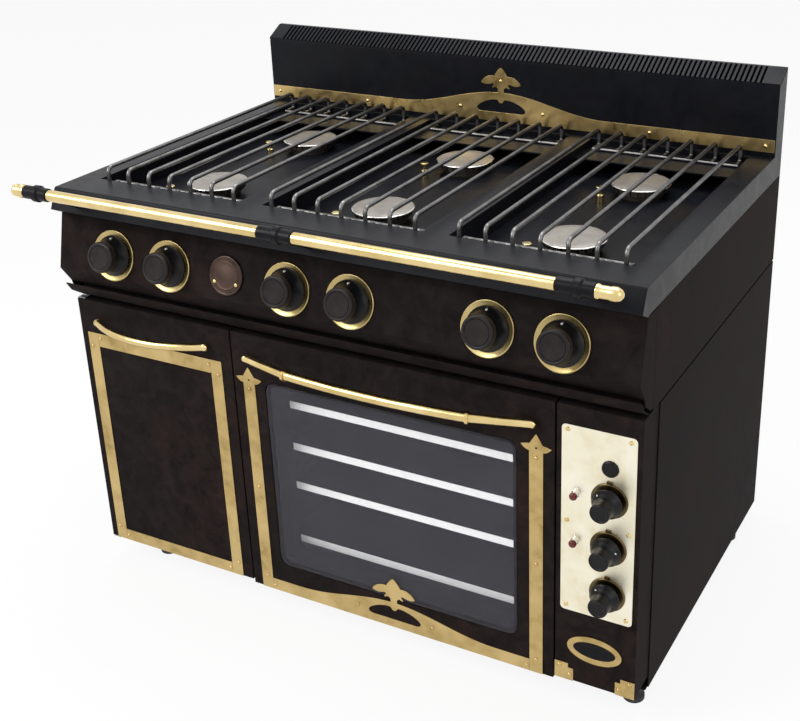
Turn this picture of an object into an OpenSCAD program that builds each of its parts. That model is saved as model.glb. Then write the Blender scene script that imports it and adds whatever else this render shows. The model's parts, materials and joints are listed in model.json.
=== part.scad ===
// Range cooker: six gas burners over a glazed electric convection oven, with a side
// cupboard, a control column, a full-width drip tray, a hob rail and brass trim.
// Sizes are in millimetres. Every piece is drawn in the front frame: X to the right
// from the middle of the cooker, Y back from the door faces, Z up from the floor.

/* [Overall] */
// Overall width
cooker_w = 1200; // [1170:1:1260]
// Depth from the door faces to the rear
cooker_d = 764; // [735:1:820]
// Height of the feet
foot_h = 30; // [24:1:40]
// Width across a foot
foot_d = 40; // [32:1:50]
// Thickness of the casing sheets
sheet_t = 2; // [1.5:0.1:2.5]

/* [Fronts] */
// Inset of the fronts from the overall width, on each side
front_edge = 2; // [1:0.5:4]
// Gap between neighbouring fronts
door_gap = 3.5; // [3:0.5:6]
// Width of the cupboard door
cabinet_w = 373; // [350:1:390]
// Thickness of the cupboard door
cabinet_t = 45; // [38:1:50]
// Width of the control column
control_w = 152; // [150:1:170]
// Depth of the control column's cover
control_d = 71; // [62:1:90]
// Thickness of the oven door's outer shell
oven_t = 44; // [40:1:50]
// Thickness of the oven door's inner pan
liner_t = 14; // [10:1:18]
// Rise of the side fronts above the base
front_rise = 25; // [22:1:32]
// Rise of the oven door above the base
oven_rise = 18; // [16:1:24]
// Gap over the doors
top_gap = 3; // [3:0.5:6]

/* [Oven] */
// Margin between the oven window and the door's side edges
window_side = 72; // [60:1:100]
// Height of the oven window
window_h = 405; // [360:1:410]
// Gap from the door's bottom edge to the window
window_rise = 67; // [60:1:75]
// Corner radius of the window
window_r = 20; // [12:1:30]
// Thickness of the window panes
glass_t = 4; // [3:0.5:6]
// Height of the oven cavity
cavity_h = 448; // [430:1:480]
// Room over the cavity for insulation, up to the hob's casing
oven_head = 68; // [60:1:90]
// Width of the front frame that the door's seal meets
flange_w = 16; // [15:1:20]
// Depth of a baking tray, front to back
tray_d = 400; // [360:1:420]
// Height of a baking tray's walls
tray_wall = 15.5; // [10:0.5:20]
// Side clearance of the baking trays
tray_gap = 16; // [15:1:20]
// Diameter of the doors' hinge pins
pin_d = 8; // [6:0.5:10]

/* [Hob] */
// Margin between the outer burner bays and the ends of the hob
bay_side = 48; // [36:1:70]
// Gap between neighbouring burner bays
bay_gap = 51; // [40:1:70]
// Distance from the door faces to the front of the openings
well_y0 = 62; // [58:1:70]
// Distance from the rear of the openings to the backguard
well_back = 12.4; // [8:0.2:20]
// Depth of the ledges that carry the grates, below the hob surface
ledge_drop = 16; // [12:1:20]
// Depth of the pans, below the hob surface
pan_drop = 52; // [48:1:60]
// Diameter of a burner cap
cap_d = 120; // [90:1:130]
// Diameter of the grate rods
grate_d = 8; // [6:0.5:10]
// Distance of the outer grate rods from the bay's walls
grate_side = 17; // [10:1:24]
// Height of the grate's top above the hob surface
grate_rise = 27; // [24:1:32]
// Tilt of the control panel from upright, in degrees
panel_tilt = 13.5; // [10:0.5:18]
// Height of the hob's front nose
nose_h = 53; // [45:1:60]
// Length of the control panel's sloping face
face_len = 111; // [106:1:125]
// Height of the dark gap between the control panel and the drip tray's lip
lip_gap = 35; // [30:1:42]
// Height of the drip tray's lip
lip_h = 35.6; // [30:0.1:45]
// Diameter of the bezels round the hob knobs
bezel_d = 99; // [84:1:104]
// Diameter of the hob knobs' skirts
hob_knob_d = 78; // [66:1:82]
// Distance of the outer hob knobs from the ends of the hob
knob_side = 136; // [115:1:150]
// Distance between the outer hob knobs and their neighbours
knob_gap = 133; // [110:1:140]
// Distance of the inner hob knobs from the middle
knob_x_in = 66; // [55:1:80]

/* [Backguard] */
// Height of the backguard above the hob surface
guard_h = 169.7; // [150:0.1:200]
// Depth of the backguard
guard_d = 52; // [46:1:60]
// Depth of the level top of the vent cap
cap_land = 10; // [6:1:14]
// Height of the vent cap's slope
cap_drop = 22.8; // [16:0.1:28]
// Distance between neighbouring vent slots
slot_pitch = 10.2; // [9:0.1:14]
// Width of a vent slot
slot_w = 5; // [4.4:0.1:6]

/* [Brass] */
// Thickness of the brass strips
strip_t = 1.5; // [1:0.1:2.5]
// Width of the brass strips
strip_w = 26; // [20:1:30]
// Diameter of a rivet's head
rivet_d = 8; // [6:0.5:10]
// Diameter of the hob rail's tube
rail_d = 21; // [18:0.5:24]
// Reach of the hob rail in front of the door faces
rail_reach = 116; // [100:1:130]
// Height of the hob rail above the hob surface
rail_rise = 26; // [18:1:34]

/* [Column] */
// Diameter of the oven knobs' skirts
oven_knob_d = 55; // [44:1:56]
// Reach of an oven knob from the plate
oven_knob_reach = 48; // [40:1:56]
// Distance between neighbouring oven knobs
oven_knob_pitch = 94; // [88:1:100]
// Diameter of the push button
button_d = 29.4; // [20:0.1:34]
// Travel of the push button
button_travel = 3; // [2:0.5:4]

/* [Handles] */
// Diameter of the oven door's handle
oven_bar_d = 18; // [14:0.5:20]
// Distance of the oven handle's ends from the door's side edges
oven_bar_side = 32; // [20:1:60]
// Diameter of the cupboard door's handle
cabinet_bar_d = 15; // [12:0.5:18]
// Distance of the cupboard handle's ends from the door's side edges
cabinet_bar_side = 46.5; // [30:0.5:70]
// Reach of the handles in front of the doors
bar_reach = 46; // [40:1:52]

/* [Hidden] */

// Smoothness of round pieces
$fn = 48;
// Clearance of a running fit, on the radius
fit = 0.05;
// Clearance between pieces that pass without touching
clear = 0.4;

// Gap in a lapped sheet joint
lap = 0.1;

// Fronts, from left to right
left_x = -cooker_w / 2 + front_edge;
right_x = cooker_w / 2 - front_edge;
cabinet_x1 = left_x + cabinet_w;
oven_x0 = cabinet_x1 + door_gap;
control_x0 = right_x - control_w;
oven_x1 = control_x0 - door_gap;
oven_x = (oven_x0 + oven_x1) / 2;
oven_w = oven_x1 - oven_x0;
cabinet_x = (left_x + cabinet_x1) / 2;
control_x = (control_x0 + right_x) / 2;
// Heights of the lower casing, from the floor up
front_z0 = foot_h + front_rise;
oven_z0 = foot_h + oven_rise;
frame_rise = 36;
frame_z0 = oven_z0 + frame_rise;
cavity_z0 = frame_z0 + flange_w;
cavity_z1 = cavity_z0 + cavity_h;
case_top = cavity_z1 + oven_head;
door_top = case_top - top_gap;
deck_t = 3.5;
// Depths of the lower casing
case_y0 = cabinet_t + 2;
deck_y = max(case_y0 + 15, control_d + 1);
oven_y = oven_t + liner_t;
base_setback = 13;
return_w = 22;
// Feet
foot_xs = [left_x + 92, oven_x0 + 97, right_x - 25];
foot_ys = [70, cooker_d - 120];
// Colours
enamel = [0.15, 0.13, 0.12];
hob_black = [0.10, 0.11, 0.13];
brass = [0.78, 0.62, 0.33];
steel = [0.62, 0.61, 0.59];
knob_brown = [0.16, 0.14, 0.13];
liner_grey = [0.34, 0.35, 0.37];

// Trays and the fan's room behind them set the depth of the cavity
seal_t = 5.2;
seal_w = 8;
frame_y = oven_y + 0.3 + seal_t;
tray_front = 26;
tray_back = 20;
tray_y0 = frame_y + tray_front;
tray_y1 = tray_y0 + tray_d;
tray_rim = 8;
tray_t = 1.2;
// Heights of the tray rims above the cavity floor
tray_rises = [26, 153, 242, 336];
runner_d = 5;
baffle_t = 1.5;
baffle_d = 54;
baffle_y = tray_y1 + tray_back;
cavity_t = 1.5;
cavity_y1 = baffle_y + baffle_d;
cavity_x0 = oven_x0 + flange_w;
cavity_x1 = oven_x1 - flange_w;
frame_drop = 6;
wool_top = 26;
wool_back = 30;
// Fan at the rear of the cavity
fan_z = (cavity_z0 + cavity_z1) / 2;
fan_shaft_d = 8;
fan_d = 190;
motor_d = 90;
motor_len = 70;
// Openings in the rear panel: air slots and a hole for a supply cable
rear_slot_w = 20;
rear_slot_h = 6;
rear_slot_pitch = 40;
rear_slot_rise = 60;
gland_x = right_x - 118;
gland_z = foot_h + 120;
gland_d = 26;
// Oven door
window_w = oven_w - 2 * window_side;
win_x0 = oven_x - window_w / 2;
win_x1 = oven_x + window_w / 2;
win_z0 = oven_z0 + window_rise;
win_z1 = win_z0 + window_h;
glass_inset = 0.5;
pane_seat = 2;
hinge_y = 30;
hinge_z = oven_z0 + 22;
hinge_arm = 6;
hinge_arm_h = 18;
hinge_in = 28;
ear_t = 3;
oven_trim_x0 = oven_x0 + 22;
oven_trim_x1 = oven_x1 - 20.5;
oven_trim_top = oven_z0 + 462;
// Cupboard door
cab_hinge_x = left_x + 9;
cab_hinge_y = 9;
cab_hinge_w = 17;
cab_hinge_h = 16;
// Control panel and the nose of the hob over it, as outlines in Y and Z
nose_y0 = -14;
nose_y1 = -32;
nose_r = 5;
face_y0 = -5;
face_y1 = face_y0 - face_len * sin(panel_tilt);
under_lip = 2.5;
face_z1 = case_top + under_lip + lip_h + lip_gap;
panel_top = face_z1 + face_len * cos(panel_tilt);
hob_h = panel_top + nose_h;
nose_z1 = hob_h - 40;
nose_mid = [(nose_y0 + nose_y1) / 2, (hob_h + nose_z1) / 2];
nose_out = [nose_z1 - hob_h, nose_y0 - nose_y1] / norm([nose_z1 - hob_h, nose_y0 - nose_y1]);
panel_back = 35;
lip_z1 = face_z1 - lip_gap;
lip = [[-20.6, lip_z1], [-8.7, lip_z1 - lip_h * 0.52], [16, lip_z1 - lip_h]];
medallion_t = 4;
knob_t = face_len * 0.597;
knob_x_out = cooker_w / 2 - knob_side;
knob_x_mid = knob_x_out - knob_gap;
knob_xs = [-knob_x_out, -knob_x_mid, -knob_x_in, knob_x_in, knob_x_mid, knob_x_out];
medallion_x = -(knob_x_mid + knob_x_in) / 2;
medallion_d = 74;
stem_d = 8;
stem_hole = 14;
bezel_h = 4.5;
knob_lift = 1.2;
// Gas pipe behind the panel, its valves and the supply pipe to the rear
pipe_d = 22;
pipe_depth = 64;
pipe_y = face_y0 - knob_t * sin(panel_tilt) + pipe_depth * cos(panel_tilt);
pipe_z = panel_top - knob_t * cos(panel_tilt) - pipe_depth * sin(panel_tilt);
fitting_w = pipe_d + 8;
valve_d = 26;
valve_t = 12;
stem_end = 36;
inlet_x = right_x - 78;
inlet_z = hob_h - 120;
inlet_len = 39;
inlet_d = pipe_d - 7;
// Hob
deck_hob_t = 3;
guard_y = cooker_d - guard_d;
well_y1 = guard_y - well_back;
well_w = (cooker_w - 2 * bay_side - 2 * bay_gap) / 3;
bay_pitch = well_w + bay_gap;
bays = [-bay_pitch, 0, bay_pitch];
ledge_z = hob_h - ledge_drop;
ledge_t = 4;
front_ledge = 33;
rear_ledge = 95;
pan_z = hob_h - pan_drop;
pan_t = 1.5;
beam_w = 30;
beam_h = 20;
beam_z = pan_z - 24;
burner_ys = [well_y0 + (well_y1 - well_y0) * 0.23, well_y0 + (well_y1 - well_y0) * 0.75];
burner_top = hob_h - 25;
cap_h = 5;
pilot_x = -53;
pilot_y = -79;
grate_pitch = (well_w - 2 * grate_side) / 6;
// Drip tray
slide_h = 2.7;
tray_floor = case_top + 5;
drip_wall = 26;
drip_t = 1.5;
// Backguard
guard_top = hob_h + guard_h;
bend_z = guard_top - cap_drop;
bend_y = cooker_d - cap_land;
cap_skirt = 4;
strip_z0 = hob_h + 9;
// Humps of the two long strips: height, half width and the rivets beside them
guard_hump = 38;
guard_hump_half = 240;
guard_rivet_x = 99;
oven_hump = 31;
oven_hump_half = 215;
oven_rivet_x = 83;
// Rail
rail_z = hob_h + rail_rise;
sleeve_d = rail_d + 10;
arm_xs = [-cooker_w / 2 + 64, -8.5, cooker_w / 2 - 74];
// Start of each sleeve from its arm, its length and the place of its collar
sleeves = [[-30, 57, 30], [-34.5, 69, 38], [-32, 64, 36]];
// Control column
plate_x0 = control_x0 + 9.7;
plate_x1 = right_x - 8.6;
plate_x = (plate_x0 + plate_x1) / 2;
plate_z0 = front_z0 + 153;
plate_z1 = door_top - 35;
dial_x = plate_x + 20.5;
dial_z = plate_z1 - 127;
dial_zs = [dial_z, dial_z - oven_knob_pitch, dial_z - 2 * oven_knob_pitch];
dial_stem = 6;
lamp_x = plate_x - 41;
lamp_zs = [dial_zs[0] - 3, dial_zs[1] - 3];
lamp_d = 12;
button_z = dial_z + 60.4;
button_back = 6;
badge_w = 103;
badge_h = 56;
badge_z = front_z0 + 80;
corner_w = 36;
corner_notch = [10, 9];
corner_rivet_d = 9;
// Handles
oven_bar_half = oven_w / 2 - oven_bar_side;
oven_bar_z = door_top - 46;
cabinet_bar_half = cabinet_w / 2 - cabinet_bar_side;
cabinet_bar_z = door_top - 41;
// Middle of the whole cooker, front to back, from the rail to the rear
mid_y = (cooker_d - rail_reach - sleeve_d / 2) / 2;

// Outlines

// Unit vector along v
function unit(v) = v / norm(v);
// Unit vector a quarter turn to the left of the stretch after point i
function left_of(p, i) = let(d = unit(p[i + 1] - p[i])) [-d[1], d[0]];
// Direction and length of the mitre at point i of an open line
function mitre(p, i) =
    i == 0 ? left_of(p, 0) :
    i == len(p) - 1 ? left_of(p, i - 1) :
    let(a = left_of(p, i - 1), b = left_of(p, i)) (a + b) / (1 + a * b);
// Closed outline of a sheet of thickness t that lies to the left of an open line
function band(p, t) = concat(
    p,
    [for (i = [len(p) - 1 : -1 : 0]) p[i] + t * mitre(p, i)]
);
// Points of an arc
function arc(c, r, a0, a1, n) = [
    for (i = [0 : n]) let(a = a0 + (a1 - a0) * i / n) c + r * [cos(a), sin(a)]
];
// Outline of an ellipse of width w and height h
module ellipse(w, h) {
    steps = 64;
    polygon([for (i = [0 : steps - 1]) let(a = 360 * i / steps) [w * cos(a), h * sin(a)] / 2]);
}
// Front of the hob from its surface down to the control panel, with a rounded upper edge
function nose() = let(
    fall = atan2(hob_h - nose_z1, nose_y0 - nose_y1),
    mid = [nose_y0 + nose_r * tan(fall / 2), hob_h - nose_r]
) concat(arc(mid, nose_r, 90, 90 + fall, 4), [[nose_y1, nose_z1], [nose_y0 + 7, panel_top]]);
// Height of a smooth hump at distance d from its middle
function hump(d, half, h) = abs(d) >= half ? 0 : h * (1 + cos(180 * d / half)) / 2;
// Mirror image of points across X = 0, in reverse order, without those on it
function mirrored(p) = [for (i = [len(p) - 1 : -1 : 0]) if (p[i][0] != 0) [-p[i][0], p[i][1]]];

// Moves the front frame to the middle of the cooker's footprint
module placed() {
    translate([0, -mid_y, 0]) children();
}

// Block between two opposite corners
module block(lo, hi) {
    translate(lo) cube(hi - lo);
}

// Extrudes an outline in Y and Z along X
module along_x(x0, x1) {
    translate([x0, 0, 0]) rotate([90, 0, 90]) linear_extrude(x1 - x0) children();
}

// Extrudes an outline in X and Z forward from the plane Y = y
module forward(y, t) {
    translate([0, y, 0]) rotate([90, 0, 0]) linear_extrude(t) children();
}

// Round bar along X
module bar_x(x0, x1, y, z, d) {
    translate([x0, y, z]) rotate([0, 90, 0]) cylinder(d = d, h = x1 - x0);
}

// Round bar along Y
module bar_y(x, y0, y1, z, d) {
    translate([x, y0, z]) rotate([-90, 0, 0]) cylinder(d = d, h = y1 - y0);
}

// Rectangle with round corners
module round_rect(x0, z0, x1, z1, r) {
    translate([x0 + r, z0]) square([x1 - x0 - 2 * r, z1 - z0]);
    translate([x0, z0 + r]) square([x1 - x0, z1 - z0 - 2 * r]);
    for (x = [x0 + r, x1 - r], z = [z0 + r, z1 - r]) translate([x, z]) circle(r);
}

// Rounded frame round a rounded opening
module round_frame(x0, z0, x1, z1, r, w) {
    difference() {
        round_rect(x0 - w, z0 - w, x1 + w, z1 + w, r + w);
        round_rect(x0, z0, x1, z1, r);
    }
}

// Places a piece on the sloping control panel, its Z axis out of the face
module on_face(x, t) {
    translate([x, face_y0 - t * sin(panel_tilt), panel_top - t * cos(panel_tilt)])
        rotate([90 - panel_tilt, 0, 0]) children();
}

// Places a piece on an upright front, its Z axis forward
module on_front(x, z, y = 0) {
    translate([x, y, z]) rotate([90, 0, 0]) children();
}

// Domed rivet head
module rivet(d = rivet_d) {
    r = d / 2;
    h = d * 0.36;
    rotate_extrude($fn = 24)
        polygon([[0, 0], [r, 0], [r * 0.9, h * 0.45], [r * 0.68, h * 0.78], [r * 0.36, h * 0.96], [0, h]]);
}

// Right half of the three-leaved ornament that stands on a hump, from its stem up
trefoil_half = [
    [7, -4], [7, 6.5], [8.5, 9], [12.5, 11.5], [19.5, 8.6], [21, 10.2], [17.5, 15], [17, 18.2],
    [20, 18.8], [28, 16.8], [34, 15.7], [40, 16.2], [47, 19], [43.8, 24.8], [38, 30], [30, 34.3],
    [21.5, 35.8], [15.3, 35.2], [13.6, 39], [11.5, 42.5], [6.5, 48.8], [2, 53], [0, 54]
];

// Lens-shaped window in a hump of brass strip, standing on Z = 0
lens_half = [
    [50, 0], [55.5, 2], [58, 6], [56.5, 10.5], [50, 16], [42, 20.5], [33, 24], [20, 27.3],
    [9.5, 27.8], [6.5, 25.5], [4.5, 22], [2, 20.6], [0, 20.3]
];

module lens() {
    polygon(concat(lens_half, mirrored(lens_half)));
}

// Brass strip from x0 to x1 with a hump, a lens and the ornament on it, around X = x
module humped_strip(x0, x1, x, z0, w, half, rise, lens_z) {
    steps = 14;
    stem = trefoil_half[0][0];
    side = concat(
        [for (i = [0 : steps]) let(d = half + (stem - half) * i / steps) [d, w + hump(d, half, rise)]],
        [for (i = [1 : len(trefoil_half) - 1]) trefoil_half[i] + [0, w + rise]]
    );
    difference() {
        translate([x, z0]) polygon(concat(
            [[x0 - x, 0], [x1 - x, 0], [x1 - x, w]], side, mirrored(side), [[x0 - x, w]]
        ));
        translate([x, lens_z]) lens();
    }
}

// Pointed leaf at the top of a side strip
finial_half = [
    [13, -1], [13, 1], [19, 2.5], [24, 6], [29, 11.3], [20, 14], [12.5, 15], [10, 19], [6.5, 25],
    [2, 32], [0, 34.5]
];

module finial() {
    difference() {
        polygon(concat(finial_half, mirrored(finial_half)));
        translate([0, 8]) circle(d = 4);
    }
}

// Curved bar handle: an arc between two posts, drawn about X = 0 in front of Y = 0
module bow_bar(half, d, y_end, y_mid) {
    sag = y_end - y_mid;
    r = (half * half + sag * sag) / (2 * sag);
    a = asin(half / r);
    translate([0, y_mid + r, 0]) rotate([0, 0, 270 - a])
        rotate_extrude(angle = 2 * a, $fn = 240) translate([r, 0]) circle(d = d, $fn = 32);
}

// Lower casing

module feet() {
    r = foot_d / 2;
    h = foot_h;
    neck = r * 0.65;
    color([0.12, 0.11, 0.11]) placed() for (x = foot_xs, y = foot_ys) translate([x, y, 0])
        rotate_extrude() polygon([
            [0, 0], [r - 1, 0], [r, 1], [r, h * 0.3], [neck, h * 0.5], [neck, h], [0, h]
        ]);
}

module base_panel() {
    color(enamel) placed()
        block([left_x, case_y0 + base_setback, foot_h], [right_x, cooker_d - sheet_t, foot_h + sheet_t]);
}

// Upright side sheet with a folded return at its top, for the right side at X = 0
module side_sheet(y0) {
    z1 = case_top - deck_t;
    block([-sheet_t, y0, foot_h], [0, cooker_d, z1]);
    block([-return_w, deck_y, z1 - sheet_t], [-sheet_t / 2, cooker_d - sheet_t, z1]);
}

module side_panels() {
    color(enamel) placed() {
        translate([cooker_w / 2, 0, 0]) side_sheet(control_d);
        mirror([1, 0, 0]) translate([cooker_w / 2, 0, 0]) side_sheet(case_y0);
    }
}

module rear_panel() {
    y = cooker_d - sheet_t;
    color(enamel) placed() difference() {
        block([left_x, y, foot_h], [right_x, cooker_d, case_top - deck_t]);
        for (i = [-3 : 3])
            translate([oven_x + i * rear_slot_pitch - rear_slot_w / 2, y - 1, fan_z + rear_slot_rise])
                cube([rear_slot_w, sheet_t + 2, rear_slot_h]);
        bar_y(gland_x, y - 1, cooker_d + 1, gland_z, gland_d);
    }
}

// Partitions on both sides of the oven and the deck over them
module inner_panels() {
    t = sheet_t;
    z1 = case_top - deck_t;
    side = 6;
    color(enamel) placed() {
        for (x = [cabinet_x1, oven_x1]) translate([x + door_gap / 2 - t / 2, 0, 0])
            block([0, oven_y + 2, foot_h + t], [t, cooker_d - t, z1]);
        block([left_x + side, deck_y, z1], [right_x - side, cooker_d - t - side, case_top]);
    }
}

module oven_cavity() {
    t = cavity_t;
    color(liner_grey) placed() difference() {
        union() {
            block([oven_x0, frame_y, frame_z0], [oven_x1, frame_y + t, door_top - frame_drop]);
            block([cavity_x0 - t, frame_y, cavity_z0 - t], [cavity_x1 + t, cavity_y1 + t, cavity_z1 + t]);
        }
        block([cavity_x0, frame_y - 1, cavity_z0], [cavity_x1, cavity_y1, cavity_z1]);
        bar_y(oven_x, cavity_y1 - 1, cavity_y1 + t + 1, fan_z, fan_shaft_d + 4);
    }
}

module oven_insulation() {
    gap = 1;
    t = cavity_t;
    y0 = frame_y + t + gap;
    z0 = hinge_z + hinge_arm_h / 2 + gap;
    color([0.85, 0.83, 0.75]) placed() difference() {
        block([oven_x0 + gap, y0, z0], [oven_x1 - gap, cavity_y1 + wool_back, cavity_z1 + wool_top]);
        block([cavity_x0 - t, y0 - 1, cavity_z0 - t], [cavity_x1 + t, cavity_y1 + t, cavity_z1 + t]);
        bar_y(oven_x, cavity_y1, cavity_y1 + wool_back + 1, fan_z, motor_d + 4);
    }
}

module door_gasket() {
    gap = 2;
    color([0.08, 0.08, 0.08]) placed() forward(frame_y, seal_t)
        round_frame(cavity_x0 - gap, cavity_z0 - gap, cavity_x1 + gap, cavity_z1 + gap, 6, seal_w);
}

// Wire rack for one side of the oven, against the wall at X = 0, reaching to +X
module wire_rack() {
    r = runner_d / 2;
    reach = tray_gap + 2.5;
    end = 20;
    ys = [tray_y0 + end, (tray_y0 + tray_y1) / 2, tray_y1 - end];
    for (y = ys) translate([r, y, cavity_z0]) cylinder(d = runner_d, h = cavity_h - 30);
    for (rise = tray_rises) {
        z = cavity_z0 + rise - tray_t - r;
        bar_y(reach, tray_y0, tray_y1 + tray_back / 2, z, runner_d);
        for (y = ys) bar_x(r, reach, y, z, runner_d * 0.8);
    }
}

module rack_rails() {
    color(steel) placed() {
        translate([cavity_x0, 0, 0]) wire_rack();
        translate([cavity_x1, 0, 0]) mirror([1, 0, 0]) wire_rack();
    }
}

module baking_trays() {
    x0 = cavity_x0 + tray_gap;
    x1 = cavity_x1 - tray_gap;
    t = tray_t;
    color([0.88, 0.88, 0.86]) placed() for (rise = tray_rises) {
        z1 = cavity_z0 + rise;
        z0 = z1 - tray_wall;
        difference() {
            union() {
                block([x0, tray_y0, z1 - t], [x1, tray_y1, z1]);
                block([x0 + tray_rim, tray_y0, z0], [x1 - tray_rim, tray_y1, z1]);
            }
            block([x0 + tray_rim + t, tray_y0 + t, z0 + t], [x1 - tray_rim - t, tray_y1 - t, z1 + 1]);
        }
    }
}

// Box over the fan, with rings of suction holes and a row of slots at each side
module fan_baffle() {
    gap = 4;
    t = baffle_t;
    x0 = cavity_x0 + gap;
    x1 = cavity_x1 - gap;
    z0 = cavity_z0 + gap;
    z1 = cavity_z1 - gap;
    ring_r0 = 14;
    ring_step = 16;
    hole_d = 8;
    slot = [8, t + 2, 22];
    slots = 10;
    slot_z0 = cavity_z0 + 30;
    slot_step = (cavity_h - 80) / (slots - 1);
    slot_x = (cavity_x1 - cavity_x0) / 2 - 44;
    color(liner_grey) placed() difference() {
        block([x0, baffle_y, z0], [x1, cavity_y1, z1]);
        block([x0 + t, baffle_y + t, z0 + t], [x1 - t, cavity_y1 + 1, z1 - t]);
        for (ring = [0 : 3]) {
            holes = 8 + 6 * ring;
            for (i = [0 : holes - 1]) translate([oven_x, baffle_y - 1, fan_z])
                rotate([-90, 360 * i / holes, 0]) translate([ring_r0 + ring_step * ring, 0, 0])
                    cylinder(d = hole_d, h = t + 2, $fn = 16);
        }
        for (side = [-1, 1], i = [0 : slots - 1])
            translate([oven_x + side * slot_x - slot[0] / 2, baffle_y - 1, slot_z0 + i * slot_step])
                cube(slot);
    }
}

module heating_ring() {
    d = 8;
    y = cavity_y1 - 20;
    r = fan_d / 2 + 16;
    color([0.35, 0.32, 0.30]) placed() {
        on_front(oven_x, fan_z, y) rotate_extrude($fn = 64) translate([r, 0]) circle(d = d, $fn = 24);
        for (side = [-1, 1]) bar_y(oven_x + side * r, y, cavity_y1, fan_z, d - 1);
    }
}

module fan_motor() {
    y0 = cavity_y1 + cavity_t;
    y1 = y0 + motor_len;
    nose_len = 12;
    color(steel) placed() difference() {
        union() {
            bar_y(oven_x, y0, y1, fan_z, motor_d);
            bar_y(oven_x, y1, y1 + nose_len, fan_z, motor_d * 0.4);
        }
        bar_y(oven_x, y0 - 1, y1 - 20, fan_z, fan_shaft_d + 2 * fit);
    }
}

module fan() {
    y1 = cavity_y1 - 6;
    y0 = y1 - 24;
    hub_d = 26;
    blade_r0 = 10;
    blade_t = 1.6;
    color([0.7, 0.7, 0.72]) placed() {
        bar_y(oven_x, y0, y1, fan_z, hub_d);
        bar_y(oven_x, y1 - 1.2, y1, fan_z, fan_d - 20);
        for (i = [0 : 7]) translate([oven_x, y0, fan_z]) rotate([-90, 45 * i, 0])
            translate([blade_r0, -blade_t / 2, 0]) cube([fan_d / 2 - blade_r0, blade_t, y1 - y0]);
        bar_y(oven_x, y1, cavity_y1 + cavity_t + motor_len - 24, fan_z, fan_shaft_d);
    }
}

// Control column

// Holes of the knobs, lamps and button through a wall from Y = y0 to y1
module column_holes(y0, y1) {
    for (z = dial_zs) bar_y(dial_x, y0, y1, z, dial_stem + 4);
    for (z = lamp_zs) bar_y(lamp_x, y0, y1, z, lamp_d);
    bar_y(dial_x, y0, y1, button_z, button_d + 2 * clear);
}

module control_cover() {
    t = sheet_t;
    color(enamel) placed() difference() {
        block([control_x0, 0, front_z0], [right_x, control_d, door_top]);
        block([control_x0 + t, t, front_z0 + t], [right_x - t, control_d + 1, door_top - t]);
        column_holes(-1, t + 1);
    }
}

module control_plate() {
    color([0.86, 0.78, 0.60]) placed() difference() {
        forward(0, strip_t) round_rect(plate_x0, plate_z0, plate_x1, plate_z1, 8);
        column_holes(-strip_t - 1, 1);
    }
}

// Plate in a lower corner of the column, its notch at the upper inside
module corner_plate() {
    w = corner_w;
    forward(0, strip_t) difference() {
        square(w);
        translate([w, w] - corner_notch) square(corner_notch + [1, 1]);
    }
    for (p = [[w * 0.26, w * 0.8], [w * 0.8, w * 0.33]])
        on_front(p[0], p[1], -strip_t) rivet(corner_rivet_d);
}

// Blank oval badge with a raised rim
module badge() {
    t = 3;
    rim = 11.5;
    difference() {
        linear_extrude(t) ellipse(badge_w, badge_h);
        translate([0, 0, t - 1]) linear_extrude(t) ellipse(badge_w - 2 * rim, badge_h - 2 * rim);
    }
}

module panel_plates() {
    color(brass) placed() {
        translate([control_x0, 0, front_z0]) corner_plate();
        translate([right_x, 0, front_z0]) mirror([1, 0, 0]) corner_plate();
        on_front(control_x, badge_z) badge();
    }
}

// Tubular lamp bodies, each with a flange behind the cover and a collar on the plate
module indicator_lamps() {
    flange = lamp_d + 3;
    back = 12;
    reach = 11;
    color([0.9, 0.88, 0.85]) placed() for (z = lamp_zs) on_front(lamp_x, z, sheet_t) difference() {
        union() {
            cylinder(d = lamp_d, h = reach);
            translate([0, 0, -back]) cylinder(d = flange, h = back);
            translate([0, 0, sheet_t + strip_t]) cylinder(d = flange, h = 4);
        }
        translate([0, 0, 5]) cylinder(d = lamp_d - 3, h = reach);
    }
}

module lamp_lenses() {
    r = lamp_d / 2 + 1;
    color([0.45, 0.05, 0.05]) placed() for (z = lamp_zs) on_front(lamp_x, z, sheet_t - 11)
        rotate_extrude() polygon([[0, 0], [r, 0], [r, 3.5], [r * 0.85, 5.5], [r * 0.5, 7], [0, 7.5]]);
}

// Rings round the oven knobs, each with a pierced tab at its top
module knob_rings() {
    r1 = oven_knob_d / 2 + 5.5;
    r0 = oven_knob_d / 2 - 6;
    h = 3;
    tab = 10;
    color(brass) placed() for (z = dial_zs) on_front(dial_x, z, -strip_t) difference() {
        union() {
            rotate_extrude() polygon([[r0, 0], [r1, 0], [r1, h / 2], [r1 - 2, h], [r0, h]]);
            translate([-tab / 2, r1 - 2, 0]) cube([tab, 6, 2.5]);
        }
        translate([0, r1 + 1, -1]) cylinder(d = 3, h = h + 2);
    }
}

// Bodies of the switches behind the cover
module oven_switches() {
    t = sheet_t;
    w = 22;
    deep = 34;
    button_well = button_back + button_travel + 1;
    color([0.25, 0.25, 0.26]) placed() {
        for (z = dial_zs) difference() {
            block([dial_x - w, t, z - w], [dial_x + w, t + deep, z + w]);
            bar_y(dial_x, 0, t + deep - 8, z, dial_stem + 2 * fit);
        }
        difference() {
            block([dial_x - w + 2, t, button_z - w + 2], [dial_x + w - 2, t + deep, button_z + 16]);
            bar_y(dial_x, 0, button_well, button_z, button_d + 2 * clear);
            bar_y(dial_x, 0, button_well + 16, button_z, dial_stem + 2 * fit);
        }
    }
}

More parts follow.
